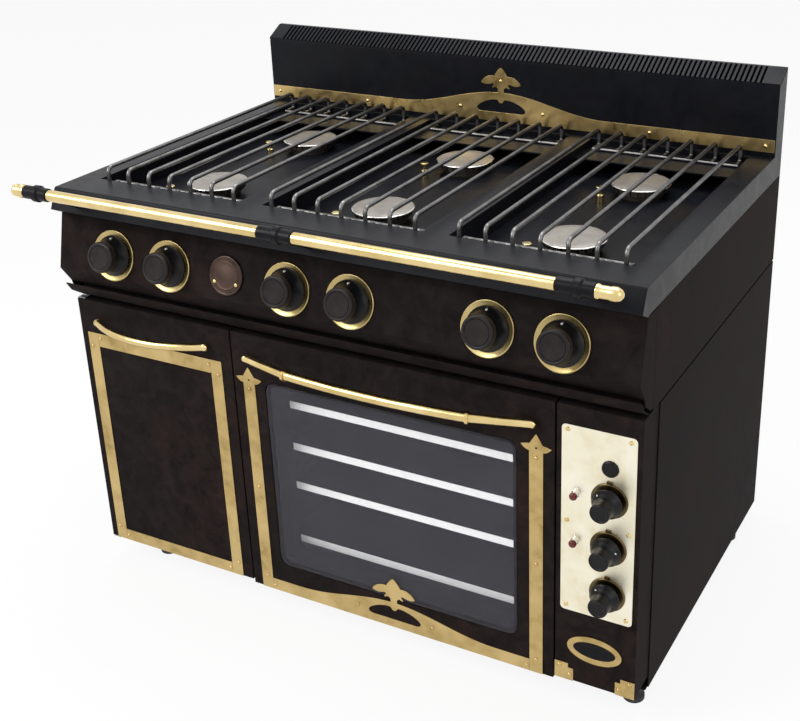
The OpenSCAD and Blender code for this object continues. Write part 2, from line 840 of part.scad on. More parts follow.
module push_button() {
    r = button_d / 2;
    h = 12;
    stem = 14;
    color([0.10, 0.09, 0.09]) placed() on_front(dial_x, button_z, button_back) {
        rotate_extrude()
            polygon([[0, 0], [r, 0], [r, h - 2], [r - 1.5, h - 0.5], [r - 4, h], [0, h]]);
        translate([0, 0, -stem]) cylinder(d = dial_stem, h = stem);
    }
}

// Round knob of the oven controls, its Z axis forward from the plate
module oven_knob() {
    s = oven_knob_d / 2;
    h = oven_knob_reach;
    g = s * 0.65;
    z0 = 3.6;
    peg = 22;
    color(knob_brown) {
        rotate_extrude() polygon([
            [0, z0], [s, z0], [s, z0 + 1.9], [s * 0.88, 8], [s * 0.72, 14], [g, 22],
            [g, h - 4], [g - 1.2, h - 1.2], [g - 4, h], [0, h]
        ]);
        // Raised ridge that carries the pointer
        translate([-1.5, s * 0.55, z0]) cube([3, s * 0.3, 5.4]);
        translate([0, 0, -sheet_t - peg]) cylinder(d = dial_stem, h = sheet_t + peg + z0);
    }
}

module oven_knob_at(i) {
    placed() on_front(dial_x, dial_zs[i], -strip_t) oven_knob();
}

// Upper casing

// Side sheet of the upper body with its lower return and the drip tray's slide rail
module upper_side() {
    t = sheet_t;
    w = cooker_w / 2;
    y1 = cooker_d - t - lap;
    block([w - t, panel_back, case_top], [w, y1, panel_top + 2]);
    block([w - return_w - t, deck_y, case_top], [w - t / 2, y1, case_top + t]);
    block([w - return_w, deck_y, case_top + t], [w - t / 2, cooker_d - 70, case_top + t + slide_h]);
}

// Welded sheets of the upper body: two sides, the rear and two beams between the bays
module upper_body() {
    t = sheet_t;
    w = cooker_w / 2;
    color(enamel) placed() {
        for (side = [0, 1]) mirror([side, 0, 0]) upper_side();
        difference() {
            block([-w, cooker_d - t, case_top], [w, cooker_d, hob_h]);
            bar_y(inlet_x, cooker_d - t - 1, cooker_d + 1, inlet_z, pipe_d + 2);
        }
        for (x = [-bay_pitch / 2, bay_pitch / 2]) translate([x, 0, beam_z])
            block([-beam_w / 2, panel_back + 12, 0], [beam_w / 2, cooker_d - t - lap, beam_h]);
    }
}

module control_panel() {
    t = sheet_t;
    w = cooker_w / 2;
    face = [
        [panel_back, panel_top], [face_y0, panel_top], [face_y1, face_z1], [-7, lip_z1], [24, lip_z1]
    ];
    cheek = concat([for (i = [0 : 3]) face[i]], [
        [-3, lip_z1 - 14], [23, case_top + 5], [panel_back, case_top + 5]
    ]);
    color(enamel) placed() {
        difference() {
            along_x(-w + t / 2, w - t / 2) polygon(band(face, t));
            for (x = knob_xs) on_face(x, knob_t) translate([0, 0, -10])
                cylinder(d = stem_hole, h = 20);
        }
        for (x = [-w, w - t]) along_x(x, x + t) polygon(cheek);
    }
}

// Brass rings round the hob knobs, hollowed towards the skirts
module knob_bezels() {
    r = bezel_d / 2;
    s = hob_knob_d / 2;
    h = bezel_h;
    floor_h = h - 2.5;
    color(brass) placed() for (x = knob_xs) on_face(x, knob_t) rotate_extrude($fn = 72)
        polygon([
            [stem_hole / 2, 0], [r, 0], [r, 1.2], [r - 1.5, h - 0.4], [r - 3, h],
            [s + 1.5, h - 2], [s - 3, floor_h], [stem_hole / 2, floor_h]
        ]);
}

// Round ornament between the second and the third knob, with plain rings
module medallion() {
    r = medallion_d / 2;
    flat = 3.4;
    color([0.55, 0.42, 0.26]) placed() on_face(medallion_x, knob_t - medallion_t) rotate_extrude($fn = 72)
        polygon([
            [0, 0], [r, 0], [r, 3], [r - 1.5, 4.5], [r - 3.5, 5], [r - 5, flat], [r - 16, flat],
            [r - 17.5, 4.6], [r - 20, flat], [r - 27, flat], [r - 29, 4.4], [0, 5]
        ]);
}

// Pipe along the front with a valve behind each knob
module valve_pipe() {
    y = pipe_y;
    z = pipe_z;
    f = fitting_w / 2;
    root = pipe_depth - fitting_w / 3;
    strap_w = 16;
    difference() {
        union() {
            bar_x(-knob_x_out - 34, inlet_x - f - lap, y, z, pipe_d);
            for (x = knob_xs) {
                block([x - f, y - f, z - f], [x + f, y + f, z + f]);
                on_face(x, knob_t) translate([0, 0, -root]) cylinder(d = valve_d, h = root - valve_t);
            }
            // Straps that hang the pipe from the beams
            for (x = [-bay_pitch / 2, bay_pitch / 2])
                block([x - strap_w / 2, panel_back + 12, z - 4], [x + strap_w / 2, panel_back + 18, beam_z]);
        }
        for (x = knob_xs) on_face(x, knob_t) translate([0, 0, -stem_end - 2])
            cylinder(d = stem_d + 2 * fit, h = stem_end);
    }
}

// Elbow block and pipe to the open gas inlet at the rear
module supply_pipe() {
    f = fitting_w / 2;
    difference() {
        union() {
            block([inlet_x - f, pipe_y - f, min(pipe_z, inlet_z) - f],
                [inlet_x + f, pipe_y + f, max(pipe_z, inlet_z) + f]);
            bar_y(inlet_x, pipe_y, cooker_d - 1, inlet_z, pipe_d);
            bar_y(inlet_x, cooker_d - pipe_d - sheet_t, cooker_d - sheet_t, inlet_z, pipe_d + 14);
        }
        bar_y(inlet_x, cooker_d - 1 - inlet_len, cooker_d, inlet_z, inlet_d);
    }
}

module gas_manifold() {
    color([0.72, 0.6, 0.35]) placed() {
        valve_pipe();
        supply_pipe();
    }
}

// Knob of a gas burner, its Z axis out of the panel
module hob_knob() {
    s = hob_knob_d / 2;
    c = s * 0.76;
    b = bezel_h - 2.5 + knob_lift;
    core = b + 20;
    pin_top = 14;
    color(knob_brown) rotate_extrude($fn = 72) polygon([
        [stem_d / 2, b], [s, b], [s, b + 2.5], [s * 0.9, b + 6], [s * 0.8, b + 12],
        [s * 0.72, b + 19], [s * 0.7, b + 23], [c - 4, b + 23.5], [c - 4, b + 25.5],
        [c - 1, b + 26], [c, b + 27.5], [c, b + 36], [c - 1, b + 38], [c - 3.5, b + 39],
        [c - 6, b + 38.6], [c - 7, b + 37.4], [c - 8, b + 38], [c * 0.4, b + 37.2],
        [0, b + 37], [0, core], [stem_d / 2, core]
    ]);
    color(steel) translate([0, s * 0.88, b]) cylinder(d = 3.5, h = pin_top);
    color(steel) translate([0, 0, -stem_end]) cylinder(d = stem_d, h = stem_end + core);
}

module hob_knob_at(i) {
    placed() on_face(knob_xs[i], knob_t) hob_knob();
}

// Hob

module cooktop() {
    w = cooker_w / 2;
    t = sheet_t;
    y1 = cooker_d - t;
    color(hob_black) placed() difference() {
        union() {
            along_x(-w + t / 2, w - t / 2) polygon(band(concat([[y1, hob_h]], nose()), deck_hob_t));
            for (x = bays) block([x - well_w / 2 - t, well_y0 - t, ledge_z - ledge_t],
                [x + well_w / 2 + t, well_y1 + t, hob_h - deck_hob_t / 2]);
            for (x = [-w, w - t]) along_x(x, x + t)
                polygon(concat(nose(), [[5, panel_top + 2], [y1, panel_top + 2], [y1, hob_h]]));
        }
        for (x = bays) {
            block([x - well_w / 2, well_y0, ledge_z], [x + well_w / 2, well_y1, hob_h + 1]);
            block([x - well_w / 2, well_y0 + front_ledge, pan_z],
                [x + well_w / 2, well_y1 - rear_ledge, hob_h]);
        }
    }
}

module burner_pans() {
    t = pan_t;
    z1 = ledge_z - ledge_t;
    color([0.16, 0.17, 0.19]) placed() for (x = bays) difference() {
        block([x - well_w / 2 - t, well_y0, pan_z - t], [x + well_w / 2 + t, well_y1, z1]);
        block([x - well_w / 2, well_y0 + t, pan_z], [x + well_w / 2, well_y1 - t, z1 + 1]);
    }
}

// Gas burner under its cap, standing on the pan, with flame slots round its head
module burner_body() {
    r = cap_d / 2 - 5;
    h = burner_top - cap_h - pan_z;
    head = 9;
    plate_h = 3;
    slots = 24;
    slot_w = 3.2;
    slot_d = 7;
    cylinder(d = cap_d * 0.72, h = h - head - plate_h);
    translate([0, 0, h - head - plate_h]) cylinder(d = cap_d * 0.86, h = plate_h);
    translate([0, 0, h - head]) linear_extrude(head) difference() {
        circle(r, $fn = 72);
        for (i = [0 : slots - 1]) rotate(i * 360 / slots) translate([r - slot_d, -slot_w / 2])
            square([slot_d + 2, slot_w]);
    }
}

module burner_bodies() {
    color([0.45, 0.42, 0.38]) placed() for (x = bays, y = burner_ys) translate([x, y, pan_z]) burner_body();
}

module burner_caps() {
    r = cap_d / 2;
    h = cap_h;
    color([0.72, 0.68, 0.62]) placed() for (x = bays, y = burner_ys) translate([x, y, burner_top - h])
        rotate_extrude($fn = 72) polygon([
            [0, 0], [r - 1, 0], [r, 1], [r, 2.2], [r - 1.5, 3.4], [r - 8, 3.8], [r - 12, h - 0.4], [0, h]
        ]);
}

module pilot_burners() {
    r = 7;
    neck = 4;
    head = 8.5;
    h = 33;
    color(brass) placed() for (x = bays, y = burner_ys) translate([x + pilot_x, y + pilot_y, pan_z])
        rotate_extrude($fn = 32) polygon([
            [0, 0], [r, 0], [r, 16], [neck, 18], [neck, h - 5], [head, h - 4], [head, h - 1],
            [head - 2.5, h], [0, h]
        ]);
}

// Quarter bend of a grate rod from level, at the origin, down to upright
module rod_bend(bend) {
    rotate([90, 0, 90]) rotate_extrude(angle = 90) translate([bend, 0]) circle(d = grate_d, $fn = 32);
}

// Rear end of a grate rod below the origin: bend, leg and a foot that runs forward
module rod_end(bend, curl, drop, run) {
    translate([0, -bend, -bend]) rod_bend(bend);
    translate([0, 0, curl - drop]) cylinder(d = grate_d, h = drop - bend - curl);
    translate([0, -curl, curl - drop]) mirror([0, 0, 1]) rod_bend(curl);
    bar_y(0, -run, -curl, -drop, grate_d);
}

// Loose grate over one bay, drawn about X = 0: bent rods whose feet meet two cross bars
module grate() {
    bend = 11;
    curl = grate_d * 0.75;
    edge = grate_d / 2 + 1;
    y0 = well_y0 + edge;
    y1 = well_y1 - edge;
    top = hob_h + grate_rise - grate_d / 2;
    drop = top - ledge_z - grate_d / 2;
    cross_d = grate_d * 0.75;
    cross_in = 26;
    cross = ledge_z + cross_d / 2;
    run = cross_in - cross_d / 2 - lap;
    half = 3 * grate_pitch + grate_d / 2;
    color(steel) {
        for (i = [-3 : 3]) translate([i * grate_pitch, 0, top]) {
            bar_y(0, y0 + bend, y1 - bend, 0, grate_d);
            translate([0, y0, 0]) mirror([0, 1, 0]) rod_end(bend, curl, drop, run);
            translate([0, y1, 0]) rod_end(bend, curl, drop, run);
        }
        for (y = [y0 + cross_in, y1 - cross_in]) bar_x(-half, half, y, cross, cross_d);
    }
}

module grate_at(i) {
    placed() translate([bays[i], 0, 0]) grate();
}

// Full-width tray under the burners, with its sloping front lip
module drip_tray() {
    w = cooker_w / 2;
    x = w - 11;
    y0 = 12;
    y1 = cooker_d - 90;
    z0 = tray_floor;
    t = drip_t;
    color(enamel) placed() {
        along_x(-w, w) polygon(band(lip, -sheet_t));
        difference() {
            block([-x, y0, z0], [x, y1, z0 + drip_wall]);
            block([-x + t, y0 + sheet_t, z0 + t], [x - t, y1 - t, z0 + drip_wall + 1]);
        }
    }
}

// Backguard

module backguard() {
    t = sheet_t;
    w = cooker_w / 2;
    front_top = bend_z - cap_skirt;
    color(hob_black) placed() {
        block([-w + t / 2, guard_y, hob_h], [w - t / 2, guard_y + t, front_top]);
        block([-w + t / 2, cooker_d - t, hob_h], [w - t / 2, cooker_d, guard_top - t - cap_skirt]);
        for (x = [-w, w - t]) along_x(x, x + t) polygon([
            [guard_y, hob_h], [cooker_d, hob_h], [cooker_d, guard_top - cap_skirt - 3],
            [bend_y, guard_top - cap_skirt - 3], [guard_y, front_top - t]
        ]);
    }
}

// Folded cap of the backguard with a row of vent slots over its slope
module vent_cap() {
    w = cooker_w / 2;
    margin = 30;
    n = floor((cooker_w - 2 * margin) / slot_pitch);
    x0 = -(n - 1) * slot_pitch / 2;
    line = [
        [cooker_d, guard_top - cap_skirt - 2], [cooker_d, guard_top], [bend_y, guard_top],
        [guard_y, bend_z], [guard_y, bend_z - cap_skirt]
    ];
    cut = [
        [guard_y - 1, bend_z - 1.5], [guard_y - 1, bend_z + 3], [bend_y - 1, guard_top + 1],
        [bend_y + 2, guard_top + 1], [bend_y + 2, guard_top - 6], [guard_y + 6, bend_z - 1.5]
    ];
    color(hob_black) placed() difference() {
        along_x(-w, w) polygon(band(line, sheet_t));
        for (i = [0 : n - 1]) translate([x0 + i * slot_pitch, 0, 0])
            along_x(-slot_w / 2, slot_w / 2) polygon(cut);
    }
}

module backguard_trim() {
    w = cooker_w / 2 - 2;
    color(brass) placed() forward(guard_y, strip_t)
        humped_strip(-w, w, 0, strip_z0, strip_w, guard_hump_half, guard_hump, strip_z0 + 20);
}

// Slotted round-headed screw of the control plate
module plate_screw() {
    d = 8.5;
    r = d / 2;
    h = 2.6;
    slot = 1.4;
    difference() {
        rotate_extrude($fn = 24)
            polygon([[0, 0], [r, 0], [r, 0.6], [r * 0.8, h * 0.72], [r * 0.45, h * 0.95], [0, h]]);
        rotate([0, 0, 35]) translate([-d, -slot / 2, h - 1.2]) cube([2 * d, slot, 2]);
    }
}

module body_fasteners() {
    w = cooker_w / 2;
    guard_front = guard_y - strip_t;
    inset = 11;
    screw_zs = [plate_z1 - inset + 2, (plate_z0 + plate_z1) / 2, plate_z0 + inset];
    color(brass) placed() {
        // Rivets along the backguard strip
        for (x = [w - 20, w * 0.565], side = [-1, 1])
            on_front(side * x, strip_z0 + strip_w / 2, guard_front) rivet();
        for (x = [-guard_rivet_x, guard_rivet_x])
            on_front(x, strip_z0 + strip_w, guard_front) rivet();
        on_front(0, strip_z0 + strip_w + guard_hump + 25, guard_front) rivet();
        // Rivets of the medallion
        for (x = [-24, 24]) on_face(medallion_x + x, knob_t - medallion_t)
            translate([0, -14, 3.4]) rivet();
        // Screws of the control plate
        for (x = [plate_x0 + inset, plate_x1 - inset], z = screw_zs)
            on_front(x, z, -strip_t) plate_screw();
    }
}

// Rail

// Knob at the rail's left end and rounded cap at its right end, as outlines round X
left_cap = [
    [0, 0], [8, 1], [11, 4], [12, 9], [10, 14], [10, 18], [13, 19], [13, 24], [11, 25], [11, 30], [0, 30]
];
right_cap = [
    [0, 0], [12, 0], [12, 4], [10.5, 6], [10.5, 22], [11.5, 24], [11.5, 32], [9, 38], [4, 42], [0, 42]
];

function sleeve_x0(i) = arm_xs[i] + sleeves[i][0];
function sleeve_x1(i) = sleeve_x0(i) + sleeves[i][1];

// Turned piece on the rail from X = x on
module on_rail(x) {
    translate([x, -rail_reach, rail_z]) rotate([0, 90, 0]) rotate_extrude() children();
}

module rail() {
    color(brass) placed() {
        bar_x(sleeve_x1(0), sleeve_x0(1), -rail_reach, rail_z, rail_d);
        bar_x(sleeve_x1(1), sleeve_x0(2), -rail_reach, rail_z, rail_d);
        on_rail(sleeve_x0(0) - 30) polygon(left_cap);
        on_rail(sleeve_x1(2)) polygon(right_cap);
    }
}

// Outline of a sleeve of the rail with a bulge at its collar
function sleeve(len, collar) = let(r = rail_d / 2, s = sleeve_d / 2) [
    [0, 0], [r + 1, 0], [r + 2, 1.5], [r + 2, collar - 8], [s, collar - 5], [s, collar + 5],
    [r + 2, collar + 8], [r + 2, len - 1.5], [r + 1, len], [0, len]
];

// Arm from the hob's nose to the rail, cut flush with the nose
module rail_arm(x) {
    reach = norm([-rail_reach, rail_z] - nose_mid);
    lean = atan2(rail_z - nose_mid[1], nose_mid[0] + rail_reach);
    root = 8;
    cut = 60;
    translate([x, nose_mid[0], nose_mid[1]]) rotate([90 - lean, 0, 0]) difference() {
        translate([0, 0, -root]) cylinder(d1 = 22, d2 = 17, h = reach + root);
        translate([-cut / 2, -cut / 2, -cut])
            rotate([lean - atan2(nose_out[1], -nose_out[0]), 0, 0]) cube(cut);
    }
}

module rail_brackets() {
    color([0.10, 0.10, 0.10]) placed() {
        for (i = [0 : 2]) on_rail(sleeve_x0(i)) polygon(sleeve(sleeves[i][1], sleeves[i][2]));
        for (x = arm_xs) rail_arm(x);
    }
}

// Doors

// Carrier of the cupboard door's pin, from the side panel to the hinge axis
module cabinet_bracket(z0, z1) {
    block([left_x, 2, z0], [cab_hinge_x + 9, case_y0 + 11, z1]);
}

module door_hinges() {
    arm = hinge_arm;
    half = hinge_arm_h / 2;
    deep = 14;
    color([0.4, 0.4, 0.42]) placed() {
        for (x = [oven_x0 + hinge_in, oven_x1 - hinge_in]) difference() {
            union() {
                block([x - arm / 2, hinge_y - half, hinge_z - half],
                    [x + arm / 2, frame_y + deep, hinge_z + half]);
                block([x - arm / 2, frame_y, foot_h + sheet_t],
                    [x + arm / 2, frame_y + deep, hinge_z + half]);
            }
            bar_x(x - arm, x + arm, hinge_y, hinge_z, pin_d + 2 * fit);
        }
        // Upper and lower brackets and pins of the cupboard door
        cabinet_bracket(door_top + 0.5, door_top + 2.4);
        block([left_x, case_y0, door_top - 24], [left_x + 3, case_y0 + 11, door_top + 2.4]);
        cabinet_bracket(front_z0 - 4.5, front_z0 - 0.5);
        block([left_x, case_y0, foot_h], [left_x + 3, case_y0 + 11, front_z0 - 0.5]);
        for (z = [front_z0 - 1, door_top - 12]) translate([cab_hinge_x, cab_hinge_y, z])
            cylinder(d = pin_d, h = 13);
    }
}

// Opening of the oven door's window, larger than the pane by m
module window(m, r) {
    round_rect(win_x0 - m, win_z0 - m, win_x1 + m, win_z1 + m, r);
}

// Frame round the window whose opening is larger than the pane by m
module window_frame(m, w) {
    round_frame(win_x0 - m, win_z0 - m, win_x1 + m, win_z1 + m, window_r + m, w);
}

module oven_door() {
    t = sheet_t;
    arm = hinge_arm;
    seat = pane_seat;
    pane_y = glass_inset + glass_t;
    slot = 1.5;
    color(enamel) placed() {
        difference() {
            union() {
                difference() {
                    block([oven_x0, 0, oven_z0], [oven_x1, oven_t, door_top]);
                    block([oven_x0 + t, t, oven_z0 + t], [oven_x1 - t, oven_t + 1, door_top - t]);
                }
                // Frame that holds the outer pane
                forward(pane_y + seat, pane_y + seat - t / 2) window_frame(seat, 14);
            }
            forward(pane_y, 20) window(seat, window_r + seat);
            // Slots for the hinge arms
            for (x = [oven_x0 + hinge_in, oven_x1 - hinge_in])
                block([x - arm / 2 - slot, t + 2, oven_z0 - 1],
                    [x + arm / 2 + slot, oven_t + 1, oven_z0 + t + 1]);
        }
        // Rebate that the outer pane rests on
        forward(pane_y + seat, seat) window_frame(-8, 12);
        // Hinge ears and their pins
        for (x = [oven_x0 + hinge_in, oven_x1 - hinge_in]) {
            for (side = [-1, 1]) translate([x + side * (arm / 2 + 1 + ear_t / 2), 0, 0])
                block([-ear_t / 2, t / 2, oven_z0 + t / 2], [ear_t / 2, oven_t - 2, hinge_z + 14]);
            bar_x(x - arm / 2 - 2, x + arm / 2 + 2, hinge_y, hinge_z, pin_d);
        }
    }
}

module oven_door_liner() {
    t = 1.5;
    x0 = oven_x0 + 3;
    x1 = oven_x1 - 3;
    z0 = frame_z0 + 3;
    z1 = door_top - 8;
    color(liner_grey) placed() difference() {
        block([x0, oven_t, z0], [x1, oven_y, z1]);
        block([x0 + t, oven_t - 1, z0 + t], [x1 - t, oven_y - t, z1 - t]);
        forward(oven_y + 1, 10) window(-10, window_r - 4);
    }
}

// Outer and inner pane
module oven_glass() {
    color([0.25, 0.28, 0.32, 0.6]) placed() {
        forward(glass_inset + glass_t, glass_t) window(0, window_r);
        forward(oven_y - 1.5, glass_t) window(4, window_r);
    }
}

module oven_door_trim() {
    t = strip_t;
    w = strip_w;
    z0 = oven_z0;
    xs = [oven_trim_x0, oven_trim_x1 - w];
    color(brass) placed() {
        forward(0, t) {
            humped_strip(xs[0] + w + clear, xs[1] - clear, oven_x, z0, w,
                oven_hump_half, oven_hump, z0 + 18);
            for (x = xs) {
                translate([x, z0]) square([w, oven_trim_top - z0]);
                translate([x + w / 2, oven_trim_top]) finial();
            }
        }
        for (x = xs, z = [z0 + 29, (z0 + oven_trim_top) / 2 + 5, oven_trim_top - 11])
            on_front(x + w / 2, z, -t) rivet();
        for (x = [xs[0] + w + 4, xs[1] - 5]) on_front(x, z0 + 10, -t) rivet();
        for (x = [-oven_rivet_x, oven_rivet_x]) on_front(oven_x + x, z0 + w, -t) rivet();
    }
}

// Bow handle with a collar and a tapered end at each side
module oven_handle() {
    d = oven_bar_d;
    m = oven_bar_half * 0.62;
    y1 = -bar_reach * 0.76;
    run = oven_bar_half - m - 6;
    tip = d * 0.9;
    drop = -y1 - tip / 2;
    lean = atan2(drop, run);
    collar = 6;
    color(brass) placed() translate([oven_x, 0, oven_bar_z]) {
        bow_bar(m - 1, d, y1, -bar_reach + 1);
        for (side = [0, 1]) mirror([side, 0, 0]) translate([m, y1, 0]) {
            rotate([0, 0, lean]) rotate([0, 90, 0]) {
                translate([0, 0, -collar / 2]) cylinder(d = d + 5, h = collar);
                cylinder(d1 = d - 1, d2 = tip - 1, h = norm([run, drop]));
            }
            translate([run, drop, 0]) sphere(d = tip);
            bar_y(run, drop, drop + tip / 2, 0, d * 0.5);
        }
    }
}

module cabinet_door() {
    t = sheet_t;
    h = cab_hinge_h;
    w = cab_hinge_w;
    color(enamel) placed() difference() {
        union() {
            difference() {
                block([left_x, 0, front_z0], [cabinet_x1, cabinet_t, door_top]);
                block([left_x + t, t, front_z0 + t], [cabinet_x1 - t, cabinet_t - t, door_top - t]);
            }
            // Bearing blocks in the door's corners
            for (z = [front_z0, door_top - h])
                block([left_x + t / 2, t / 2, z], [left_x + w, w, z + h]);
        }
        for (z = [front_z0 - 1, door_top - 13]) translate([cab_hinge_x, cab_hinge_y, z])
            cylinder(d = pin_d + 2 * fit, h = 14);
    }
}

module cabinet_door_trim() {
    t = strip_t;
    w = strip_w;
    x0 = left_x + 16;
    x1 = cabinet_x1 - 24;
    z0 = front_z0;
    z1 = door_top - 70;
    top_w = w + 3;
    color(brass) placed() {
        forward(0, t) {
            for (x = [x0, x1 - w]) translate([x, z0]) square([w, z1 - z0]);
            translate([x0 + w + clear, z0]) square([x1 - x0 - 2 * w - 2 * clear, w]);
            translate([x0 + w + clear, z1 - top_w]) square([x1 - x0 - 2 * w - 2 * clear, top_w]);
        }
        // Two rivets at each corner
        for (x = [x0, x1], z = [z0, z1]) {
            sx = x == x0 ? 1 : -1;
            sz = z == z0 ? 1 : -1;
            on_front(x + sx * w * 0.35, z + sz * (w + 4), -t) rivet();
            on_front(x + sx * (w + 5), z + sz * w * 0.45, -t) rivet();
        }
    }
}

// Bow handle with ball ends on short posts
module cabinet_handle() {
    d = cabinet_bar_d;
    half = cabinet_bar_half - d / 2;
    post = d * 0.6;
    color(brass) placed() translate([cabinet_x, 0, cabinet_bar_z]) {
        bow_bar(half, d, -post, -bar_reach);
        for (x = [-half, half]) {
            translate([x, -post, 0]) sphere(d = d * 1.12);
            bar_y(x, -post, 0, 0, d * 0.8);
        }
    }
}

feet();
base_panel();
side_panels();
rear_panel();
inner_panels();
oven_cavity();
oven_insulation();
door_gasket();
rack_rails();
baking_trays();
fan_baffle();
heating_ring();
fan_motor();
control_cover();
control_plate();
panel_plates();
indicator_lamps();
lamp_lenses();
knob_rings();
oven_switches();
upper_body();
control_panel();
knob_bezels();
medallion();
gas_manifold();
cooktop();
burner_pans();
burner_bodies();
burner_caps();
pilot_burners();
backguard();
vent_cap();
backguard_trim();
body_fasteners();
rail();
rail_brackets();
door_hinges();
oven_door();
oven_door_liner();
oven_glass();
oven_door_trim();
oven_handle();
cabinet_door();
cabinet_door_trim();
cabinet_handle();
hob_knob_at(0);  // hob_knob_1
hob_knob_at(1);  // hob_knob_2
hob_knob_at(2);  // hob_knob_3
hob_knob_at(3);  // hob_knob_4
hob_knob_at(4);  // hob_knob_5
hob_knob_at(5);  // hob_knob_6
oven_knob_at(0);  // oven_knob_1
oven_knob_at(1);  // oven_knob_2
oven_knob_at(2);  // oven_knob_3
push_button();
grate_at(0);  // grate_1
grate_at(1);  // grate_2
grate_at(2);  // grate_3
drip_tray();
fan();
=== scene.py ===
"""Looks of a range cooker: enamelled casing, brass trim, glazed oven and gas hob.

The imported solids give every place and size. This script dresses them, replaces
those whose real shape is softer or finer than the plain solid, and lights the
cooker like a product photograph. Outlines that are turned on a lathe are in
millimetres, everything else is in metres.
"""

from __future__ import annotations

import json
import logging
import math
from dataclasses import dataclass
from enum import Enum

import bpy
from mathutils import Matrix, Vector

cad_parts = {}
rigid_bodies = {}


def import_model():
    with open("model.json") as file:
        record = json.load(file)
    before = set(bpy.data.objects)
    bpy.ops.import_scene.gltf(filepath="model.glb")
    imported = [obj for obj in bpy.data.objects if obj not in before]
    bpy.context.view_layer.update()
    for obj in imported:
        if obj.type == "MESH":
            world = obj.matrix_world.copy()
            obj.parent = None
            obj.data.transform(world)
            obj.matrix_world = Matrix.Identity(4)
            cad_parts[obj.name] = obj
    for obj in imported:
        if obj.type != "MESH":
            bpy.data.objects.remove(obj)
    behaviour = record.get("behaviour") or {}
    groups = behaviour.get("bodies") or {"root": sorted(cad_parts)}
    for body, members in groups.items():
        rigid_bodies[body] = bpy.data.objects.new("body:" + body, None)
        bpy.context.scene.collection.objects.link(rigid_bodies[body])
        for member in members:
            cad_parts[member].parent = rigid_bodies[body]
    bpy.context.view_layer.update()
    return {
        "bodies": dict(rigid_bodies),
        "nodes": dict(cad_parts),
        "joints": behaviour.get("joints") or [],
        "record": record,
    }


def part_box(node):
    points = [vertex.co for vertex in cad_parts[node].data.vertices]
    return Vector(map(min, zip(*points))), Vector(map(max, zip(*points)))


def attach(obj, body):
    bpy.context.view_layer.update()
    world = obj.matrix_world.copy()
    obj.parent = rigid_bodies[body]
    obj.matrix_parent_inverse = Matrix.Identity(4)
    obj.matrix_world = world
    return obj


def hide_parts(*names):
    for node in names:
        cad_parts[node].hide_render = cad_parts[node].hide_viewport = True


LOG = logging.getLogger("range_cooker")

Point = tuple[float, float, float]
Colour = tuple[float, float, float]
Outline = list[tuple[float, float]]
Cut = tuple[int, float]

MM = 0.001
CAD_MERGE = 0.02 * MM
LATHE_MERGE = 0.002 * MM
FLAT_DEGREES = 0.6
UP: Point = (0.0, 0.0, 1.0)
FORWARD: Point = (0.0, -1.0, 0.0)


class Axis(Enum):
    """Directions of the frame, by their place in a vector."""

    X = 0
    Y = 1
    Z = 2


# ---------------------------------------------------------------- materials


